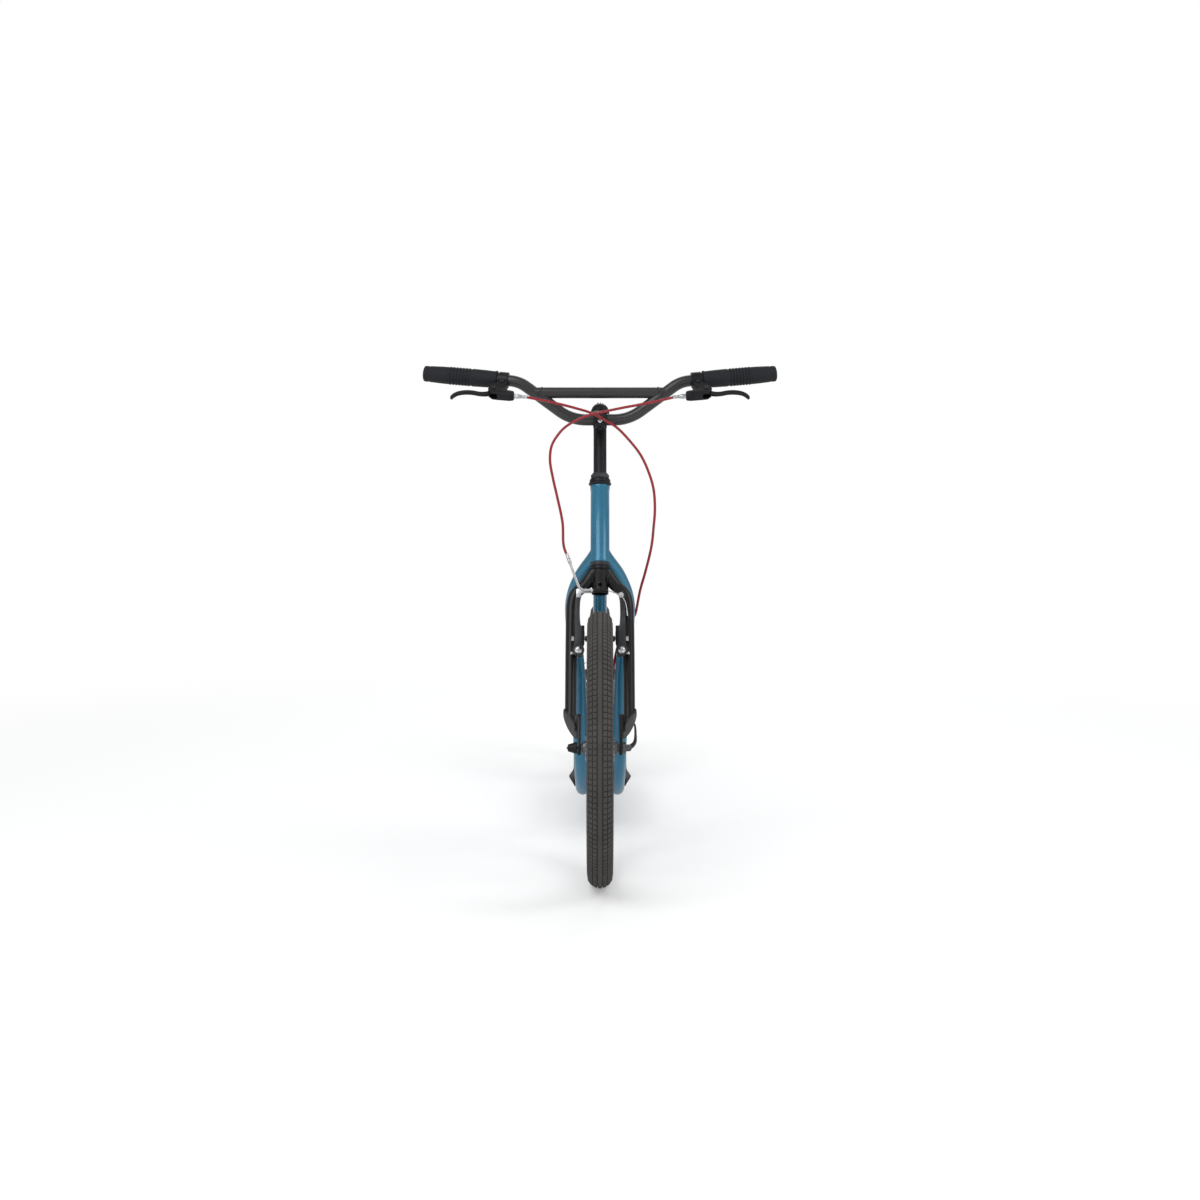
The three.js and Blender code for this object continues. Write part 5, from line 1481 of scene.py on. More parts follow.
@dataclass
class Frame:
    """The blue frame: head tube, side and centre tubes, bridges, headset cups, footboard and studs."""

    head_base: float = 0.3527
    head_length: float = 0.15
    head_radius: float = 0.018
    head_bore: float = 0.0169
    tube_radius: float = 0.0143
    spread: float = 0.052
    reach: float = 0.108
    bottom: float = 0.342
    wing: Sequence[Point] = (
        (0.07, 0, 1), (0.7, 0.24, 0.79), (1, 0.42, 0.6), (0.875, 0.865, 0.15), (0.817, 1, 0)
    )
    deck_half: float = 0.035
    deck_height: float = 0.08
    board_front: float = 0.452
    board_rear: float = 0.806
    board_top: float = 0.1055
    board_half: float = 0.064
    board_shape: Sequence[tuple[float, float]] = (
        (0, 0.9), (0.06, 1), (0.33, 0.87), (0.86, 0.9), (0.97, 0.84), (1, 0.78)
    )

    def crest(self) -> Vector:
        """Returns the left tube's corner above the dropout."""
        return at(0.0445, 0.935, 0.222)

    def tongue(self, reach: float) -> Vector:
        """Finds the middle of the left dropout's tongue.

        Args:
            reach: how far in front of the axle.

        Returns:
            The place.
        """
        hub = Vector((0.0478, REAR_HUB.y, REAR_HUB.z))
        forward = self.crest() - hub
        forward.x = 0
        return hub + forward.normalized() * reach

    def side_line(self) -> tuple[list[Vector], list[Vector]]:
        """Draws the left tube.

        Returns:
            Its upper and its lower line.
        """
        start = STEERING @ Vector((0, 0, self.head_base + 0.15 * self.head_length))
        upper = [
            Vector((
                across * self.spread, start.y + back * self.reach, self.bottom + up * (start.z - self.bottom)
            ))
            for across, back, up in self.wing
        ]
        upper = [STEERING @ Vector((0, 0, self.head_base + 0.34 * self.head_length)), *upper]
        leaving = upper[-1]
        turn = at(self.deck_half, 0, self.deck_height)
        turn.y = leaving.y + (leaving.z - self.deck_height) * 0.377
        corners = [
            leaving, turn, at(self.deck_half, 0.846, self.deck_height), self.crest(), self.tongue(0.018)
        ]
        return spline(upper, 12), rounded(corners, (0.2, 0.07, 0.06), 16)

    def clear_of_head(self, piece: Piece, low: float) -> None:
        """Cuts away what would stand inside the head tube, above a place on the steering's axis."""
        carved(piece, turned("head_room", rod(0.0176, low, 0.54), STEERING, 64))

    def side_tubes(self) -> None:
        """Makes both side tubes, cut to the head tube."""
        upper, lower = self.side_line()
        left = tube("left_side_run", [*upper[:-1], *lower], self.tube_radius, sides=10)
        self.clear_of_head(left, self.head_base - 0.02)
        both_sides(left, Look.FRAME_BLUE, "frame", "left_side_tube")

    def head_tube(self) -> None:
        """Makes the head tube with its thickened ends."""
        low, high = self.head_base, self.head_base + self.head_length
        wide = self.head_radius
        lip = wide + 0.0007
        profile = (
            (self.head_bore, low), (lip - 0.0006, low), (lip, low + 0.0006), (lip, low + 0.0075),
            (wide, low + 0.0095), (wide, high - 0.0095), (lip, high - 0.0075), (lip, high - 0.0006),
            (lip - 0.0006, high), (self.head_bore, high), (self.head_bore, low)
        )
        head = turned("steering_head_tube", profile, STEERING, 72, 30)
        dressed(head, Look.FRAME_BLUE, "frame", "head_tube")

    def middle_tubes(self) -> None:
        """Makes the centre tube, both bridges and their welds."""
        top, foot = Vector((0, -0.3425, 0.65)), Vector((0, -0.1492, 0.1304))
        along = (foot - top).normalized()
        centre = tube("centre_run", [top + along * 0.004, foot - along * 0.008], 0.0132, sides=9)
        self.clear_of_head(centre, 0.3)
        dressed(centre, Look.FRAME_BLUE, "frame", "centre_tube")
        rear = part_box("rear_bridge")
        rear_middle = (Vector(rear[0]) + Vector(rear[1])) / 2
        half = self.deck_half - self.tube_radius + 0.002
        for name, middle in (("front_bridge", foot), ("rear_bridge", rear_middle)):
            end = Vector((half, middle.y, middle.z))
            bar = tube(f"{name}_tube", [Vector((-half, middle.y, middle.z)), end], 0.009, sides=7)
            dressed(bar, Look.FRAME_BLUE, "frame", name)
        beads = [weld("bead_foot", foot - along * 0.0095, along, 0.0134)]
        seat = half - 0.0035
        places = ((seat, foot), (-seat, foot), (seat, rear_middle), (-seat, rear_middle))
        for i, (x, middle) in enumerate(places):
            beads.append(weld(f"bead_{i}", Vector((x, middle.y, middle.z)), ACROSS, 0.0096))
        dressed(joined("frame_weld_beads", beads), Look.FRAME_BLUE, "frame")

    def headset(self) -> None:
        """Makes the pressed cups with their flanges."""
        top = self.head_base - 0.0003
        lower = (
            (0.0148, 0.01), (0.0148, 0), (0.0152, -0.0064), (0.0176, -0.0064), (0.0184, -0.0056),
            (0.0187, -0.0022), (0.0187, -0.0004), (0.0184, 0), (0.0166, 0), (0.0166, 0.01), (0.0148, 0.01)
        )
        cup = turned("lower_cup", lower, STEERING, 72, 30, top)
        dressed(cup, Look.GREY_ALLOY, "frame", "lower_headset_cup")
        base = self.head_base + self.head_length + 0.0003
        upper = (
            (0.0148, -0.01), (0.0166, -0.01), (0.0166, 0), (0.0184, 0), (0.0188, 0.0005), (0.0212, 0.0028),
            (0.0217, 0.0036), (0.0217, 0.0045), (0.0212, 0.005), (0.0152, 0.005), (0.0148, 0),
            (0.0148, -0.01)
        )
        cup = turned("upper_cup", upper, STEERING, 72, 30, base)
        dressed(cup, Look.BLACK_ALLOY, "frame", "upper_headset_cup")

    def footboard(self) -> None:
        """Makes the board: a deck with bevelled edges and skirts, and raised grip ribs."""
        rings = []
        depth = self.board_rear - self.board_front
        low = self.board_top - 0.0195
        skirt = self.deck_half + self.tube_radius + 0.0026
        inner = self.deck_half + self.tube_radius + 0.0006
        under = self.board_top - 0.0109
        for share in (i / 24 for i in range(25)):
            half = max(self.wide(share) * self.board_half, skirt)
            behind = self.board_front + share * depth
            ends = 0.0025 * (1 - min(share, 1 - share) * 24) if min(share, 1 - share) < 1 / 24 else 0
            top = self.board_top - ends
            section = [
                (-half + ends, top - 0.0022), (-skirt, low + ends), (-inner, low + ends), (-inner, under),
                (inner, under), (inner, low + ends), (skirt, low + ends), (half - ends, top - 0.0022),
                (half - 0.0012 - ends, top - 0.0006), (half - 0.004 - ends, top), (0, top),
                (-half + 0.004 + ends, top), (-half + 0.0012 + ends, top - 0.0006)
            ]
            rings.append([at(x, behind, z) for x, z in section[::-1]])
        deck = lofted("board_deck", rings)
        dressed(deck, Look.BOARD, "frame", "footboard")
        ribs = []
        for i in range(19):
            share = 0.09 + 0.82 * i / 18
            half = self.wide(share) * self.board_half - 0.012
            behind = self.board_front + share * depth
            place = shift(at(0, behind, self.board_top - 0.0012))
            ribs.append(block(f"rib_{i}", (-half, -0.002, -0.001), (half, 0.002, 0.0012), place, 0.0007))
        dressed(joined("board_grip_ribs", ribs), Look.GRIP_RUBBER, "frame")

    def wide(self, share: float) -> float:
        """Finds how wide the board is.

        Args:
            share: the place along it, as a share of its length.

        Returns:
            The share of its full width there.
        """
        for (a, wide_a), (b, wide_b) in zip(self.board_shape, self.board_shape[1:]):
            if share <= b:
                return wide_a + (wide_b - wide_a) * smooth_step((share - a) / (b - a))
        return self.board_shape[-1][1]

    def build(self) -> None:
        """Makes the whole frame."""
        self.side_tubes()
        self.head_tube()
        self.middle_tubes()
        self.headset()
        self.footboard()
        studs(REAR, Look.FRAME_BLUE)
        carried(Look.FRAME_BLUE, "left_rear_dropout", "right_rear_dropout")
        carried(Look.STEEL, "rear_axle", "left_axle_nut", "right_axle_nut")


STUD_SPREAD = 0.04
ARM_HUB = 0.017


def brake_axis(kind: BrakeKind, side: int, height: float = 0, reach: float = 0) -> Matrix:
    """Returns a grid on a brake whose third direction points away from the frame, square to the arms.

    Args:
        kind: the brake.
        side: 1 or -1, the side of the brake's own grid.
        height: how far above the pivot.
        reach: how far in front of the arms' middle plane.

    Returns:
        The grid.
    """
    origin = Vector((side * STUD_SPREAD, kind.setback - reach, kind.stud_radius + height))
    return kind.place @ shift(origin) @ Matrix.Rotation(QUARTER, 4, "X")


def stud_boss(name: str, kind: BrakeKind, side: int) -> Piece:
    """Makes the welded boss behind a brake arm.

    Args:
        name: the piece's name.
        kind: the brake.
        side: -1 or 1, across.

    Returns:
        The piece.
    """
    behind = ARM_HUB / 2 + 0.0003
    long = 0.0168 if kind is FRONT else 0.021
    profile = (
        (0, -behind - long), (0.0082, -behind - long), (0.0082, -behind - 0.0025), (0.0076, -behind - 0.002),
        (0.0074, -behind), (0, -behind)
    )
    return turned(name, profile, brake_axis(kind, side), 32)


def stud_bolt(name: str, kind: BrakeKind, side: int) -> Piece:
    """Makes the domed silver bolt with its socket that holds a brake arm on.

    Args:
        name: the piece's name.
        kind: the brake.
        side: -1 or 1, across.

    Returns:
        The piece.
    """
    face = ARM_HUB / 2 + 0.0005
    profile = (
        (0, face - 0.004), (0.0074, face - 0.004), (0.0074, face), (0.007, face + 0.0012),
        (0.006, face + 0.0034), (0.0045, face + 0.0049), (0.0026, face + 0.0056), (0.0017, face + 0.0056),
        (0.0016, face + 0.0034), (0, face + 0.0034)
    )
    return turned(name, profile, brake_axis(kind, side), 36, 40)


def studs(kind: BrakeKind, look: Look) -> None:
    """Makes both studs of a brake with their bolts.

    Args:
        kind: the brake.
        look: the bosses' finish.
    """
    for side in (-1, 1):
        dressed(stud_boss(f"{kind.name}_stud_{side}", kind, side), look, kind.body)
        dressed(stud_bolt(f"{kind.name}_stud_bolt_{side}", kind, side), Look.BRIGHT_STEEL, kind.body)


# Fork


@dataclass
class Fork:
    """The black fork: crown boss, two swept blades with capped ends, dropouts, studs and the front axle."""

    blade_spread: float = 0.0536
    blade_top: float = 0.342
    crown_base: float = 0.293
    crown_top: float = 0.3377
    crown_radius: float = 0.016
    top_radius: float = 0.0127
    radius: float = 0.0108
    shape: Sequence[Point] = (
        (0.09, 0, 1), (0.2, 0, 0.977), (0.52, 0, 0.908), (0.86, 0.02, 0.856), (0.97, 0.05, 0.8),
        (0.99, 0.1, 0.724), (1, 0.2, 0.526), (1, 0.38, 0.322), (1, 0.62, 0.132), (1, 0.8, 0.02)
    )
    cut_place: Point = (0.0536, -0.0248, 0.044)
    cut_direction: Point = (0.74, -0.5, -0.42)
    dropout_inner: float = 0.035

    def blade_line(self) -> list[Vector]:
        """Draws the left blade.

        Returns:
            Its line on the steering grid.
        """
        points = [
            Vector((across * self.blade_spread, -ahead * FORK_RAKE, up * self.blade_top))
            for across, ahead, up in self.shape
        ]
        return spline(points, 8)

    def blades(self) -> None:
        """Makes both blades and their end caps."""
        line = self.blade_line()
        radii = []
        for i in range(len(line)):
            share = smooth_step((i / (len(line) - 1) - 0.12) / 0.2)
            radii.append((self.top_radius + (self.radius - self.top_radius) * share) / self.top_radius)
        place, normal = Vector(self.cut_place), Vector(self.cut_direction).normalized()
        left = tube("left_blade", line, self.top_radius, sides=9, radii=radii)
        bisected(left, place, normal)
        bisected(left, Vector((0, 0, self.crown_top - 0.0002)), UP)
        settled(left, STEERING)
        core = tube("left_blade_cap", line[50:], self.radius * 1.06, sides=9)
        bisected(core, place + normal * 0.0011, normal)
        bisected(core, place - normal * 0.001, -normal)
        rim = tube("left_blade_rim", line[50:], self.radius + 0.003, sides=9)
        bisected(rim, place + normal * 0.0004, normal)
        bisected(rim, place - normal * 0.0022, -normal)
        both_sides(left, Look.BLACK_PAINT, "fork", "left_fork_blade")
        both_sides(settled(core, STEERING), Look.CAP_GREY, "fork")
        both_sides(settled(rim, STEERING), Look.BLACK_PAINT, "fork")

    def crown(self) -> None:
        """Makes the crown boss with its cast ribs and mudguard hole, and the welds of the blades."""
        low, high, wide = self.crown_base, self.crown_top, self.crown_radius
        profile = (
            (0.0129, low), (wide - 0.001, low), (wide, low + 0.001), (wide, high - 0.001),
            (wide - 0.0008, high), (0.0129, high), (0.0129, low)
        )
        boss = turned("crown_boss", profile, HERE, 64, 30)
        drill = turned("drill", rod(0.0032, -0.03, 0.03), ALONG_Y, 24)
        settled(drill, shift((0, 0, 0.3075)))
        carved(boss, drill)
        settled(boss, STEERING)
        dressed(boss, Look.BLACK_PAINT, "fork")
        ribs = [
            tube(
                f"crown_rib_{side}",
                [
                    Vector((side * 0.0026, 0.0006 - wide, 0.3145)),
                    Vector((side * 0.0026, 0.0006 - wide, high - 0.003))
                ],
                0.0012, STEERING, 3
            )
            for side in (-1, 1)
        ]
        rim = weld("hole_rim", Vector((0, 0.0003 - wide, 0.3075)), BACK, 0.0037, STEERING, 0.0006)
        dressed(joined("crown_ribs", [*ribs, rim]), Look.BLACK_PAINT, "fork")
        beads = []
        for side in (-1, 1):
            tilt = Vector((side, 0, -0.22))
            beads.append(weld(
                f"crown_bead_{side}", Vector((side * 0.0152, 0, 0.3222)), tilt, 0.0131, STEERING, 0.0014
            ))
        bead = joined("crown_weld_beads", beads)
        settled(bead, STEERING.inverted())
        bisected(bead, Vector((0, 0, self.crown_top + 0.0004)), UP)
        dressed(settled(bead, STEERING), Look.BLACK_PAINT, "fork")

    def dropouts(self) -> None:
        """Makes the flat slotted ends that hold the axle, and the roots that join them to the blades."""
        inner, thick = self.dropout_inner, 0.006
        lobe, root = 0.013, 0.008
        outline = []
        hub, top = Vector((-FORK_RAKE, 0)), Vector((-0.027, 0.056))
        tilt = math.atan2(top.y - hub.y, top.x - hub.x)
        for i in range(17):
            angle = tilt + QUARTER + math.pi * i / 16
            outline.append((hub.x + lobe * math.cos(angle), hub.y + lobe * math.sin(angle)))
        for i in range(13):
            angle = tilt - QUARTER + math.pi * i / 12
            outline.append((top.x + root * math.cos(angle), top.y + root * math.sin(angle)))
        slot = 0.0049
        middle = Vector((inner + thick / 2, 0, 0))
        plane = grid(middle, BACK, UP, ACROSS)
        left = plate("left_fork_end", outline, thick, plane, 0.0008)
        notch = block("notch", (0.02, -FORK_RAKE - slot, -0.03), (0.06, -FORK_RAKE + slot, 0.0), edge=0.0001)
        hole = turned("hole", rod(slot, 0.02, 0.06), shift((0, -FORK_RAKE, 0)) @ ALONG_X, 32)
        carved(carved(left, notch), hole)
        block_root = block("root", (inner, -0.0345, 0.03), (0.0475, -0.0195, 0.062), edge=0.003)
        both_sides(settled(joined("left_fork_end", [left, block_root]), STEERING), Look.BLACK_PAINT, "fork")

    def upper_stack(self) -> None:
        """Makes the crown race, the adjusting race and the locknut with its collar."""
        low = self.crown_top + 0.0003
        race = (
            (0.0146, 0), (0.0172, 0), (0.0183, 0.0015), (0.0184, 0.0048), (0.0172, 0.0078), (0.0146, 0.0078),
            (0.0146, 0)
        )
        dressed(turned("crown_ring", race, STEERING, 64, 25, low), Look.BLACK_ALLOY, "fork", "crown_race")
        low = 0.5083
        cone = (
            (0.0146, 0), (0.0194, 0), (0.02, 0.0006), (0.02, 0.0059), (0.0194, 0.0067), (0.0188, 0.0077),
            (0.0146, 0.0077), (0.0146, 0)
        )
        piece = turned("adjusting_cone", cone, STEERING, 64, 25, low)
        dressed(piece, Look.BLACK_ALLOY, "fork", "adjusting_race")
        low += 0.008
        nut = turned(
            "lock_hexagon",
            (
                (0.0146, 0), (0.0194, 0), (0.02, 0.0006), (0.02, 0.0058), (0.0185, 0.007), (0.0146, 0.007),
                (0.0146, 0)
            ),
            STEERING, 6, 20, low
        )
        collar = turned(
            "lock_collar",
            (
                (0.0146, 0.0062), (0.017, 0.0062), (0.0168, 0.0074), (0.015, 0.0108), (0.0142, 0.0112),
                (0.0131, 0.0112), (0.0131, 0.0104), (0.0146, 0.01), (0.0146, 0.0062)
            ),
            STEERING, 64, 30, low
        )
        dressed(joined("lock_ring", [nut, collar]), Look.GREY_ALLOY, "fork", "locknut")

    def axle(self) -> None:
        """Makes the quick release: the skewer nut and the bowed lever with its cam."""
        hub = shift(FRONT_HUB)
        nut = turned(
            "cone_nut",
            (
                (0, -0.0585), (0.0052, -0.0585), (0.0064, -0.0577), (0.007, -0.056), (0.0086, -0.05),
                (0.01, -0.0465), (0.0104, -0.0455), (0.0104, -0.0428), (0.0098, -0.0417), (0, -0.0417)
            ),
            hub @ ALONG_X, 40, 28
        )
        dressed(nut, Look.BLACK_ALLOY, "fork", "skewer_nut")
        carried(Look.HUB_ALLOY, "front_axle", "skewer")
        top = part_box("quick_release_lever")[1][2]
        pivot = Vector((0.0523, FRONT_HUB.y, FRONT_HUB.z))
        long = top - 0.0002 - pivot.z
        run = (
            (0, 0, 0.75, 2.2), (0.04, 0.2, 0.8, 2.2), (0.12, 0.6, 0.82, 2), (0.25, 0.92, 0.95, 1.6),
            (0.6, 1, 1, 1.1), (0.85, 0.94, 0.9, 1), (0.97, 0.84, 0.62, 0.8)
        )
        centres = spline([pivot + Vector((out * 0.012, 0, up * long)) for up, out, _, _ in run], 5)
        widths = spline([Vector((thick, wide, 0)) for _, _, wide, thick in run], 5)
        arm = bowed("release_arm", centres, widths, (0.002, 0.0055), BACK)
        cam = turned(
            "release_cam", sleeve(0, 0.0052, -0.0046, 0.0046, (0.0006, 0.0006)), shift(pivot) @ ALONG_Y, 36
        )
        dressed(joined("release_lever", [arm, cam]), Look.GREY_ALLOY, "quick_release", "quick_release_lever")

    def build(self) -> None:
        """Makes the whole fork."""
        self.blades()
        self.crown()
        self.dropouts()
        studs(FRONT, Look.BLACK_PAINT)
        self.upper_stack()
        self.axle()
        carried(Look.BLACK_PAINT, "steerer")


# Stem and handlebar


@dataclass
class Handlebar:
    """The quill stem, the bent bar with its crossbar, grips, lever brackets, levers and adjusters."""

    lower_corner: Point = (0.055, 0, 0)
    upper_corner: Point = (0.154, 0.004, 0.073)
    end: Point = (BAR_HALF_WIDTH, 0.03, 0.0885)
    cross_height: float = 0.0515
    cross_half: float = 0.1248
    cross_radius: float = 0.0107
    grip_length: float = 0.14
    head_height: float = 0.64
    quill_radius: float = 0.0125

    def bar_line(self) -> list[Vector]:
        """Draws the bar.

        Returns:
            Its line from end to end.
        """
        left = [self.end, self.upper_corner, self.lower_corner]
        points = [on_bar(-x, y, z) for x, y, z in left] + [on_bar(*p) for p in left[::-1]]
        return rounded(points, (0.06, 0.085, 0.085, 0.06), 14)

    def bar(self) -> None:
        """Makes the bar, the crossbar and the crossbar's welds."""
        bent = tube("bent_bar", self.bar_line(), BAR_RADIUS, sides=9)
        dressed(bent, Look.BAR_BLACK, "stem", "handlebar")
        sweep = self.upper_corner[1] / 2
        left = on_bar(self.cross_half, sweep, self.cross_height)
        right = on_bar(-self.cross_half, sweep, self.cross_height)
        brace = tube("brace", [right, left], self.cross_radius, sides=9)
        dressed(brace, Look.BAR_BLACK, "stem", "crossbar")
        beads = []
        for side in (-1, 1):
            centre = on_bar(side * (self.cross_half - 0.0085), sweep, self.cross_height)
            beads.append(weld(f"brace_bead_{side}", centre, Vector((side, 0, 0.55)), 0.0118, bead=0.0013))
        dressed(joined("crossbar_weld_beads", beads), Look.BAR_BLACK, "stem")

    def stem(self) -> None:
        """Makes the quill, the domed head, the bar clamp and the bolts."""
        quill = tube("quill", [Vector((0, 0, 0.437)), Vector((0, 0, 0.641))], self.quill_radius, sides=10)
        wedge_normal = Vector((0, math.sin(math.radians(25)), -math.cos(math.radians(25))))
        bisected(quill, Vector((0, 0, 0.44)), wedge_normal)
        settled(quill, STEERING)
        top = self.head_height
        dome = turned(
            "stem_dome",
            (
                (0, -0.0175), (0.0126, -0.0175), (0.0138, -0.012), (0.0166, -0.0055), (0.018, 0.0005),
                (0.0184, 0.005), (0.0182, 0.01), (0.0172, 0.015), (0.015, 0.0203), (0.0118, 0.0243),
                (0.009, 0.0262), (0.008, 0.0266), (0.0074, 0.0262), (0.0072, 0.024), (0, 0.024)
            ),
            STEERING, 64, 38, top
        )
        clamp = on_bar(0, 0, 0)
        neck_start = STEERING @ Vector((0, 0, top - 0.0025))
        neck = tube(
            "neck", [neck_start, neck_start.lerp(clamp, 0.5), clamp], 0.0125, sides=9, radii=(1.1, 1.0, 1.12)
        )
        half = 0.013
        barrel = turned(
            "bar_clamp",
            (
                (BAR_RADIUS + 0.0001, -half), (0.0158, -half), (0.0168, -half + 0.001),
                (0.017, -half + 0.002), (0.017, half - 0.002), (0.0168, half - 0.001), (0.0158, half),
                (BAR_RADIUS + 0.0001, half), (BAR_RADIUS + 0.0001, -half)
            ),
            shift(clamp) @ ALONG_X, 64
        )
        whole = joined("stem_body", [quill, dome, neck, barrel])
        dressed(whole, Look.BLACK_ALLOY, "stem", "stem")
        head = turned(
            "stem_bolt",
            (
                (0, 0.0241), (0.0062, 0.0241), (0.0064, 0.025), (0.0064, 0.0294), (0.0057, 0.0302),
                (0.0034, 0.0302), (0.0031, 0.027), (0, 0.027)
            ),
            STEERING, 36, 30, top
        )
        dressed(head, Look.BRIGHT_STEEL, "stem", "expander_bolt")
        ears = block("clamp_ears", (-0.0085, -0.024, -0.0065), (0.0085, -0.012, 0.0065), edge=0.0022)
        tilted = shift(clamp) @ Matrix.Rotation(math.radians(28), 4, "X")
        settled(ears, tilted)
        dressed(ears, Look.BLACK_ALLOY, "stem")
        tip = tilted @ shift((0, -0.0185, 0))
        bolt = turned(
            "clamp_bolt",
            (
                (0, 0.006), (0.0046, 0.006), (0.0046, 0.0094), (0.0041, 0.01), (0.0026, 0.01),
                (0.0024, 0.0072), (0, 0.0072)
            ),
            tip, 30, 30
        )
        nut = turned("clamp_nut", hexagon(0.0082, -0.0098, -0.0062), tip, 6, 20)
        dressed(bolt, Look.BRIGHT_STEEL, "stem")
        dressed(nut, Look.BLACK_ALLOY, "stem")
        carried(Look.STEEL, "expander_wedge")

    def grips(self) -> None:
        """Makes the ribbed rubber grips with their end flanges."""
        start = BAR_HALF_WIDTH - self.grip_length
        place = bar_end_grid(start)
        long = self.grip_length / place.col[0][0]
        profile = [
            (BAR_RADIUS + 0.0002, 0), (0.015, 0), (0.0166, 0.0005), (0.0169, 0.0015), (0.0169, 0.0035)
        ]
        profile += [(0.016, 0.005), (0.016, 0.0085)]
        ribs = 7
        first, last = 0.36 * long, 0.66 * long
        swell = 0.017
        profile += [(0.0166, 0.16 * long), (swell, first - 0.004)]
        pitch = (last - first) / ribs
        for i in range(ribs):
            low = first + i * pitch
            profile += [
                (swell - 0.001, low), (swell - 0.001, low + pitch * 0.3),
                (swell + 0.0002, low + pitch * 0.42), (swell + 0.0002, low + pitch * 0.88)
            ]
        profile += [
            (swell - 0.001, last), (swell - 0.0004, last + 0.002), (0.0164, 0.76 * long),
            (0.0158, 0.86 * long), (0.0154, 0.925 * long), (0.0147, 0.935 * long), (0.0147, 0.945 * long),
            (0.0153, 0.955 * long), (0.0152, 0.985 * long), (0.0146, long + 0.0006), (0.0126, long + 0.0018),
            (0.005, long + 0.0019), (0.004, long + 0.0012), (0, long + 0.0012)
        ]
        profile = [*profile, (0, long + 0.0006), (BAR_RADIUS + 0.0002, long + 0.0006), profile[0]]
        left = turned("left_hand_grip", profile, place @ ALONG_X, 64, 28)
        both_sides(left, Look.GRIP_RUBBER, "stem", "left_grip")

    def brackets(self) -> None:
        """Makes the lever brackets: clamp band, hollow perch, pivot pin and the clamp's screw."""
        band = turned(
            "band", sleeve(BAR_RADIUS + 0.0002, 0.0158, -0.009, 0.009, (0.0008, 0.0008)),
            LEVER_GRID @ ALONG_X, 56
        )
        outline = (
            (-0.012, -0.0118), (0.009, -0.0118), (0.0095, -0.0185), (0.0145, -0.0222), (0.0205, -0.025),
            (0.021, -0.044), (0.019, -0.0505), (0.011, -0.0575), (0.0000, -0.058), (-0.0217, -0.0578),
            (-0.0285, -0.056), (-0.0305, -0.0535), (-0.0305, -0.0485), (-0.0285, -0.0458),
            (-0.0217, -0.0442), (-0.008, -0.0438), (-0.003, -0.041), (-0.006, -0.03), (-0.0105, -0.023)
        )
        body = plate("perch", outline, 0.017, LEVER_GRID, 0.0016)
        room = block("room", (0.001, -0.075, -0.0051), (0.03, -0.0205, 0.0051), LEVER_GRID, 0.0008)
        carved(body, room)
        drill = tube(
            "drill", [Vector((-0.05, CABLE_REACH, 0)), Vector((0.01, CABLE_REACH, 0))], 0.0026, LEVER_GRID, 4
        )
        carved(body, drill)
        left = joined("left_perch", [band, body])
        both_sides(left, Look.BLACK_ALLOY, "stem", "left_lever_bracket")
        pivot = LEVER_GRID @ shift((0.011, -0.04, 0))
        pin = turned(
            "pin",
            (
                (0, -0.0098), (0.0034, -0.0098), (0.0039, -0.0092), (0.0039, -0.0084), (0.0024, -0.0084),
                (0.0024, 0.0084), (0.0042, 0.0084), (0.0042, 0.0096), (0.0036, 0.0103), (0.0018, 0.0103),
                (0.0016, 0.009), (0, 0.009)
            ),
            pivot, 28, 30
        )
        screw_place = LEVER_GRID @ shift((0, -0.0162, 0))
        screw = turned(
            "screw",
            (
                (0, 0.008), (0.0038, 0.008), (0.0038, 0.0106), (0.0033, 0.0112), (0.0021, 0.0112),
                (0.0019, 0.0094), (0, 0.0094)
            ),
            screw_place, 28, 30
        )
        both_sides(joined("left_lever_screws", [pin, screw]), Look.GREY_ALLOY, "stem")

    def levers(self) -> None:
        """Makes the curved lever blades with their eyes."""
        pivot, span, rise = Vector((0.011, -0.04, 0)), 0.078, -0.016
        shape = (
            (-0.05, -0.2, 0, 1.1, 0.9), (0.03, 0.2, 0, 1.5, 0.95), (0.13, 0.72, 0, 1.4, 1),
            (0.3, 0.95, 0.5, 1, 1), (0.5, 0.85, 0.8, 1, 1), (0.7, 0.85, 0, 1, 1), (0.86, 1, -1.6, 1, 0.95),
            (0.95, 1.3, -3.2, 1.1, 0.9), (1, 1.62, -5, 1, 0.7)
        )
        half_thick, half_wide = 0.0029, 0.0047
        centres = spline(
            [pivot + Vector((out * span, away * rise, up * half_wide / 3)) for out, away, up, _, _ in shape],
            5
        )
        sizes = spline([Vector((thick, wide, 0)) for _, _, _, thick, wide in shape], 5)
        blade = bowed("blade", centres, sizes, (half_thick, half_wide), UP, LEVER_GRID, 0.7, 0.55)
        eye = turned(
            "eye", sleeve(0.003, 0.0055, -0.0046, 0.0046, (0.0005, 0.0005)), LEVER_GRID @ shift(pivot), 40
        )
        drill = turned("drill", rod(0.0031, -0.02, 0.02), LEVER_GRID @ shift(pivot), 32)
        carved(blade, drill)
        left = joined("left_lever_blade", [blade, eye])
        both_sides(left, Look.BLACK_ALLOY, "left_lever", "left_brake_lever")

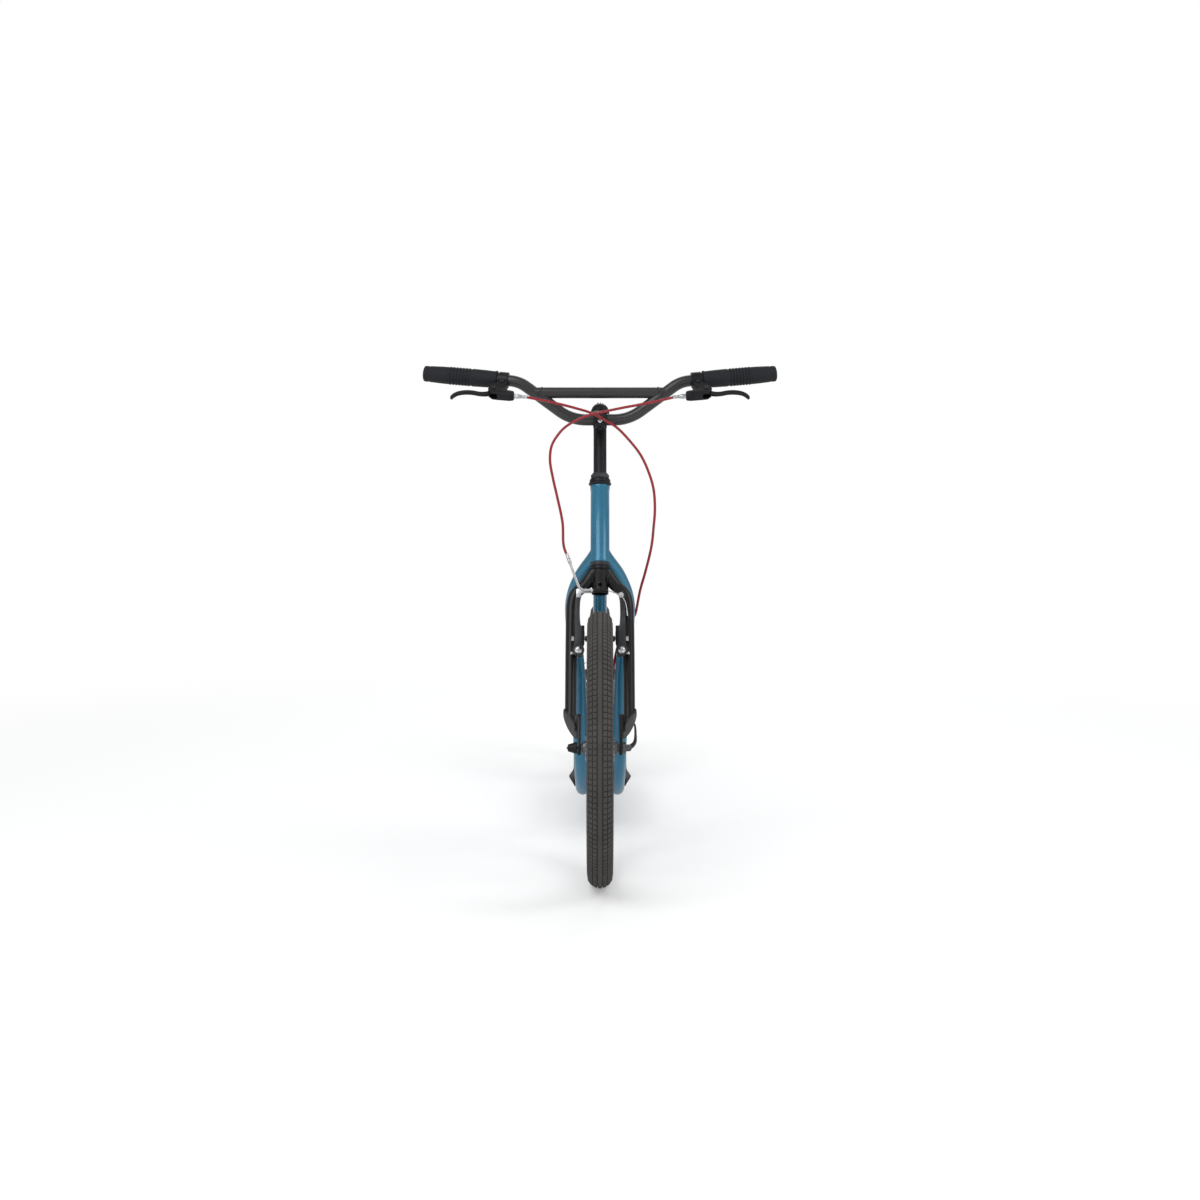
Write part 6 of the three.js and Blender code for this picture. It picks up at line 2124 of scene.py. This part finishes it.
    def adjusters(self) -> None:
        """Makes the knurled silver barrels at the brackets."""
        start = -0.0313
        profile = [(0, start), (0.0045, start), (0.0045, start - 0.0012), (0.0038, start - 0.0016)]
        profile += [(0.0038, start - 0.0026), (0.0045, start - 0.003)]
        profile += [
            (0.0045, start - 0.0068), (0.004, start - 0.0078), (0.0036, start - 0.012),
            (0.0033, start - 0.013)
        ]
        profile += [(0, start - 0.013)]
        place = LEVER_GRID @ shift((0, CABLE_REACH, 0)) @ ALONG_X
        barrel = turned("barrel", profile, place, 40, 25)
        flutes = []
        for i in range(20):
            angle = FULL_TURN * i / 20
            flank = Matrix.Rotation(angle, 4, "Z")
            run = [flank @ Vector((0.0045, 0, start - 0.0032)), flank @ Vector((0.0045, 0, start - 0.0066))]
            flutes.append(tube(f"flute_{i}", run, 0.0003, place, 1))
        left = joined("left_barrel", [barrel, *flutes])
        both_sides(left, Look.STEEL, "stem", "left_cable_adjuster")

    def build(self) -> None:
        """Makes the whole handlebar."""
        self.bar()
        self.stem()
        self.grips()
        self.brackets()
        self.levers()
        self.adjusters()


# Brakes


@dataclass
class RimBrake:
    """A linear-pull brake: arms, springs, pads, noodle with its link, boot, inner wire and anchor bolt."""

    kind: BrakeKind
    link_body: str
    wire_body: str
    length: float = 0.112
    half_width: float = 0.0085
    thickness: float = 0.011
    pin_height: float = 0.103
    pad_gap: float = 0.0015
    pad_length: float = 0.07
    noodle_radius: float = 0.0025
    rim_half: float = 0.0125
    outline: Sequence[tuple[float, float]] = (
        (0.96, -0.036), (1, 0.02), (0.88, 0.27), (0.8, 0.54), (0.66, 0.89), (0.4, 0.98), (0, 1),
        (-0.35, 0.96), (-0.35, 0.85), (-0.3, 0.54), (-0.47, 0.43), (-1.24, 0.36), (-1.26, 0.12), (-1, 0.036),
        (-0.7, -0.054), (0, -0.079), (0.6, -0.067)
    )

    def local(self, x: float, y: float, z: float) -> Vector:
        """Returns a place in the brake's grid, from the arms' middle plane and the pivots' height."""
        return Vector((x, self.kind.setback + y, self.kind.stud_radius + z))

    def body(self, side: int) -> str:
        """Returns the arm's body on a side of the brake's grid. The negative side's holds the link."""
        return self.link_body if side < 0 else self.wire_body

    def sided(self, side: int) -> Matrix:
        """Returns the brake's grid, mirrored for its negative side."""
        return self.kind.place @ (MIRROR if side < 0 else HERE)

    def arms(self) -> None:
        """Makes both arms with their hubs, and a black block on each arm's inner flank as painted shade."""
        name = self.kind.name
        for side in (-1, 1):
            body = self.body(side)
            outline = [
                (STUD_SPREAD + across * self.half_width, self.kind.stud_radius + up * self.length)
                for across, up in self.outline
            ]
            drawn = spline([Vector((x, z, 0)) for x, z in [*outline, outline[0]]], 4)[:-1]
            middle = Vector((0, self.kind.setback, 0))
            plane = grid(middle, ACROSS, UP, Vector((0, -1, 0)))
            web = plate(f"{body}_web", [(p.x, p.y) for p in drawn], self.thickness, plane, 0.0022)
            hub = turned(
                f"{body}_boss",
                (
                    (0.0043, -0.0085), (0.008, -0.0085), (0.0088, -0.0077), (0.0088, 0.0042),
                    (0.0108, 0.0048), (0.0112, 0.0054), (0.0112, 0.0079), (0.0106, 0.0085), (0.0043, 0.0085),
                    (0.0043, -0.0085)
                ),
                shift(self.local(STUD_SPREAD, 0, 0)) @ Matrix.Rotation(QUARTER, 4, "X"), 44
            )
            arm = joined(f"{body}_casting", [web, hub])
            groove = block(
                "groove", self.local(STUD_SPREAD - 0.0008, -0.012, 0.05),
                self.local(STUD_SPREAD + 0.0022, -0.0047, 0.092), edge=0.001
            )
            carved(arm, groove)
            # Painted shade: a black rubber block laid on the arm's inner flank, to darken the side that
            # falls in shade.
            shade_strip = block(
                f"{body}_pad_guard", self.local(STUD_SPREAD - 0.0112, -0.0062, 0.012),
                self.local(STUD_SPREAD - 0.0052, 0.0052, 0.0465), edge=0.0012
            )
            settled(shade_strip, self.sided(side))
            dressed(shade_strip, Look.SMALL_RUBBER, body)
            settled(arm, self.sided(side))
            node = "_".join((name, body.split("_")[1], "brake_arm"))
            dressed(arm, Look.GREY_ALLOY, body, node)

    def springs(self) -> None:
        """Makes the return springs and their screws."""
        for side in (-1, 1):
            body = self.body(side)
            coil = []
            stud = self.local(side * STUD_SPREAD, 0, 0)
            for i in range(73):
                across, up = polar(0.008, FULL_TURN * 3 * i / 72)
                coil.append(stud + Vector((across * side, 0.0058 + 0.0026 * i / 72, up)))
            rise = [
                self.local(side * 0.0498, 0.0086, 0.012), self.local(side * 0.0492, 0.0082, 0.04),
                self.local(side * 0.0468, 0.008, 0.062), self.local(side * 0.044, 0.0078, 0.068)
            ]
            spring = tube(
                f"{body}_spring", spline([*coil[:-4:6], coil[-1], *rise], 8), 0.0008, self.kind.place, 2
            )
            dressed(spring, Look.GREY_ALLOY, body)
            spot = self.kind.place @ shift(self.local(side * 0.0477, -0.001, -0.0045))
            screw = turned(
                f"{body}_spring_screw",
                (
                    (0, 0), (0.0019, 0), (0.0019, 0.004), (0.0031, 0.0042), (0.0031, 0.006),
                    (0.0025, 0.0068), (0.0011, 0.0068), (0.001, 0.0058), (0, 0.0058)
                ),
                spot @ Matrix.Rotation(side * QUARTER, 4, "Y"), 24
            )
            dressed(screw, Look.BRIGHT_STEEL, body)

    def pads(self) -> None:
        """Makes the cartridge pads with their holders, posts, washers and nuts."""
        track = self.kind.track
        place_up = math.sqrt(track**2 - self.kind.setback**2)
        facing = math.atan2(place_up, self.kind.setback)
        swing = self.pad_length / 2 / track
        inner = self.rim_half + self.pad_gap
        steps = 16
        for side in (-1, 1):
            body = self.body(side)
            node = "_".join((self.kind.name, body.split("_")[1], "brake_pad"))

            def shoe(name: str, near: float, far: float, half: float, swing_share: float) -> Piece:
                """Makes one curved layer of the pad.

                Args:
                    name: the piece's name.
                    near: how far its inner face is from the middle.
                    far: the same of its outer face.
                    half: half its height.
                    swing_share: its length, as a share of the pad's.

                Returns:
                    The piece.
                """
                outer = [
                    (track + half, facing + swing * swing_share * (2 * i / steps - 1))
                    for i in range(steps + 1)
                ]
                lower = [(track - half, angle) for _, angle in outer[::-1]]
                ring = [polar(*point) for point in [*outer, *lower]]
                middle = Vector(((near + far) / 2, 0, 0))
                plane = grid(middle, BACK, UP, ACROSS)
                return plate(name, ring, far - near, plane, 0.0009)

            layer = shoe(f"{body}_block", inner, inner + 0.0062, 0.005, 1)
            holder = shoe(f"{body}_holder", inner + 0.0064, inner + 0.01, 0.0044, 0.93)
            cuts = []
            for i in (-2, -1, 1, 2):
                angle = facing + i * swing * 0.3
                spot = Vector((inner, *polar(track, angle)))
                turn = shift(spot) @ Matrix.Rotation(angle, 4, "X")
                cuts.append(
                    block(f"cut_{i}", (-0.002, -0.008, -0.0007), (0.0022, 0.008, 0.0007), turn, 0.0001)
                )
            carved(layer, joined("pad_cuts", cuts))
            centre = Vector((0, self.kind.setback, place_up))
            across = shift(centre) @ ALONG_X
            back, face = inner + 0.01, STUD_SPREAD + self.half_width
            post = turned(
                f"{body}_post",
                (
                    (0, back - 0.001), (0.003, back - 0.001), (0.003, face + 0.004), (0.0016, face + 0.0044),
                    (0, face + 0.0044)
                ),
                across, 24
            )
            wall = 0.0293
            spans = ((back + 0.0004, back + 0.0022), (back + 0.0024, wall - 0.0016))
            washers = [
                turned(f"{body}_washer_{i}", sleeve(0.0031, 0.0056, low, high, (0.0004, 0.0005)), across, 32)
                for i, (low, high) in enumerate(spans)
            ]
            nut = turned(f"{body}_nut", hexagon(0.0083, face - 0.0002, face + 0.0042), across, 6, 20)
            for piece in (layer, holder, post, nut, *washers):
                settled(piece, self.sided(side))
            dressed(layer, Look.SMALL_RUBBER, body, node)
            dressed(joined(f"{body}_pad_holder", [holder, *washers]), Look.BLACK_ALLOY, body)
            dressed(joined(f"{body}_pad_post", [post, nut]), Look.STEEL, body)

    def noodle(self) -> None:
        """Makes the curved cable guide, its ferrule and the bracket that holds it on the arm."""
        kind = self.kind
        start = kind.noodle_point((-0.0125, 0, 0))
        corner, end = kind.noodle_point(kind.corner), kind.noodle_point(kind.end)
        line = rounded([start, corner, end], (0.017,), 18)
        pipe = tube(f"{kind.name}_pipe", line, self.noodle_radius, kind.place, 5)
        turn = aimed((end - corner).normalized())
        ferrule = turned(
            f"{kind.name}_pipe_ferrule", sleeve(0.0024, 0.0034, -0.0088, 0, (0.0003, 0.0008)),
            kind.place @ shift(end) @ turn, 32
        )
        tip = turned(
            f"{kind.name}_pipe_tip",
            (
                (0.0024, -0.017), (0.0036, -0.017), (0.0038, -0.0164), (0.0038, -0.0146), (0.003, -0.0132),
                (0.0027, -0.011), (0.0024, -0.011), (0.0024, -0.017)
            ),
            kind.place @ shift((0, start.y, start.z)) @ ALONG_X, 32
        )
        body = self.link_body
        node = f"{kind.name}_brake_noodle"
        dressed(joined(f"{kind.name}_noodle_pipe", [pipe, ferrule, tip]), Look.STEEL, body, node)
        face = kind.setback - self.thickness / 2 - 0.0003
        low = kind.stud_radius + self.pin_height - 0.0042
        high = kind.stud_radius + 0.1113 + 0.004
        outline = (
            (-0.044, low + 0.0012), (-0.0428, low), (-0.0372, low), (-0.0345, high - 0.0086),
            (-0.015, high - 0.0084), (-0.0146, high - 0.008), (-0.0146, high - 0.0004), (-0.015, high),
            (-0.0425, high), (-0.044, high - 0.0018)
        )
        plane = grid(Vector((0, face - 0.001, 0)), ACROSS, UP, Vector((0, -1, 0)))
        front = settled(plate(f"{kind.name}_front_cheek", outline, 0.0014, plane, 0.0004), kind.place)
        end_cheek = block(
            f"{kind.name}_end_cheek", (-0.0158, kind.noodle_setback - 0.004, high - 0.0084),
            (-0.0146, face - 0.0004, high), kind.place, 0.0004
        )
        pin = turned(
            f"{kind.name}_link_pin",
            (
                (0, -0.0054), (0.0019, -0.0054), (0.0019, 0.006), (0.0034, 0.007), (0.0034, 0.0078),
                (0.0026, 0.0086), (0, 0.0086)
            ),
            brake_axis(kind, -1, self.pin_height), 28
        )
        link = joined(f"{kind.name}_link_bracket", [front, end_cheek, pin])
        dressed(link, Look.BRIGHT_STEEL, body)

    def boot_and_wire(self) -> None:
        """Makes the ribbed boot, the inner wire, its anchor bolt and the wire's tail."""
        kind = self.kind
        centre = kind.noodle_point((0, 0, 0))
        across = kind.place @ shift((0, centre.y, centre.z)) @ ALONG_X
        start, end, folds = -0.0122, 0.0145, 5
        profile = [(0, start), (0.004, start), (0.0044, start + 0.001)]
        pitch = (end - 0.004 - start - 0.001) / folds
        for i in range(folds):
            low = start + 0.001 + i * pitch
            profile += [(0.0044, low + pitch * 0.25), (0.0032, low + pitch * 0.62), (0.0042, low + pitch)]
        profile += [(0.003, end - 0.002), (0.0024, end), (0, end)]
        boot = turned(f"{kind.name}_boot_bellows", profile, across, 36, 60)
        dressed(boot, Look.SMALL_RUBBER, self.link_body, f"{kind.name}_brake_boot")
        anchor = STUD_SPREAD - 0.001
        drop = centre.z - kind.stud_radius - self.pin_height
        face = kind.setback - self.thickness / 2
        run = [
            Vector((end - 0.001, centre.y, centre.z)),
            Vector((anchor - 0.012, centre.y + 0.0006, centre.z - drop * 0.55)),
            Vector((anchor - 0.004, face - 0.0014, centre.z - drop * 0.85)),
            Vector((anchor + 0.002, face - 0.0012, centre.z - drop - 0.003)),
            Vector((anchor + 0.0075, face - 0.003, centre.z - drop - 0.012)),
            Vector((anchor + 0.0105, face - 0.005, centre.z - drop - 0.026)),
            Vector((anchor + 0.0118, face - 0.006, centre.z - drop - 0.04))
        ]
        wire = tube(f"{kind.name}_inner_wire", spline(run, 8), 0.0008, kind.place, 2)
        dressed(wire, Look.STEEL, self.wire_body)
        tail_end, before = run[-1], run[-2]
        cap = tube(
            f"{kind.name}_wire_end_cap", [tail_end - (tail_end - before).normalized() * 0.01, tail_end],
            0.0013, kind.place, 3
        )
        dressed(cap, Look.STEEL, self.wire_body)
        bolt_grid = brake_axis(kind, 1, self.pin_height) @ shift((-0.001, 0, self.thickness / 2))
        washer = turned(
            "anchor_washer", ((0, 0.002), (0.005, 0.002), (0.0052, 0.003), (0, 0.003)), bolt_grid, 32
        )
        head = turned("anchor_head", hexagon(0.008, 0.003, 0.0072), bolt_grid, 6, 20)
        shank = turned("anchor_shank", rod(0.0024, -0.01, 0.0022), bolt_grid, 20)
        bolt = joined(f"{kind.name}_anchor_bolt", [washer, head, shank])
        dressed(bolt, Look.BRIGHT_STEEL, self.wire_body)

    def build(self) -> None:
        """Makes the whole brake."""
        self.arms()
        self.springs()
        self.pads()
        self.noodle()
        self.boot_and_wire()


# The whole bike


def main() -> None:
    """Makes the studio and every part of the bike."""
    logging.basicConfig(level=logging.INFO, format="%(message)s")
    studio = Studio()
    studio.camera()
    Cables().build()
    studio.floor()
    studio.light()
    Wheel("front", FRONT_HUB, FRONT_TYRE_RADIUS, 0.2032, 0.0347, 0.023, 28, 150, "front_wheel").build()
    Wheel("rear", REAR_HUB, REAR_TYRE_RADIUS, 0.1526, 0.045, 0.03, 20, 120, "rear_wheel").build()
    Frame().build()
    Fork().build()
    Handlebar().build()
    RimBrake(FRONT, "front_right_arm", "front_left_arm").build()
    RimBrake(REAR, "rear_left_arm", "rear_right_arm").build()
    carried(Look.SMALL_RUBBER, "front_inner_tube", "rear_inner_tube")


if __name__ == "__main__":
    main()
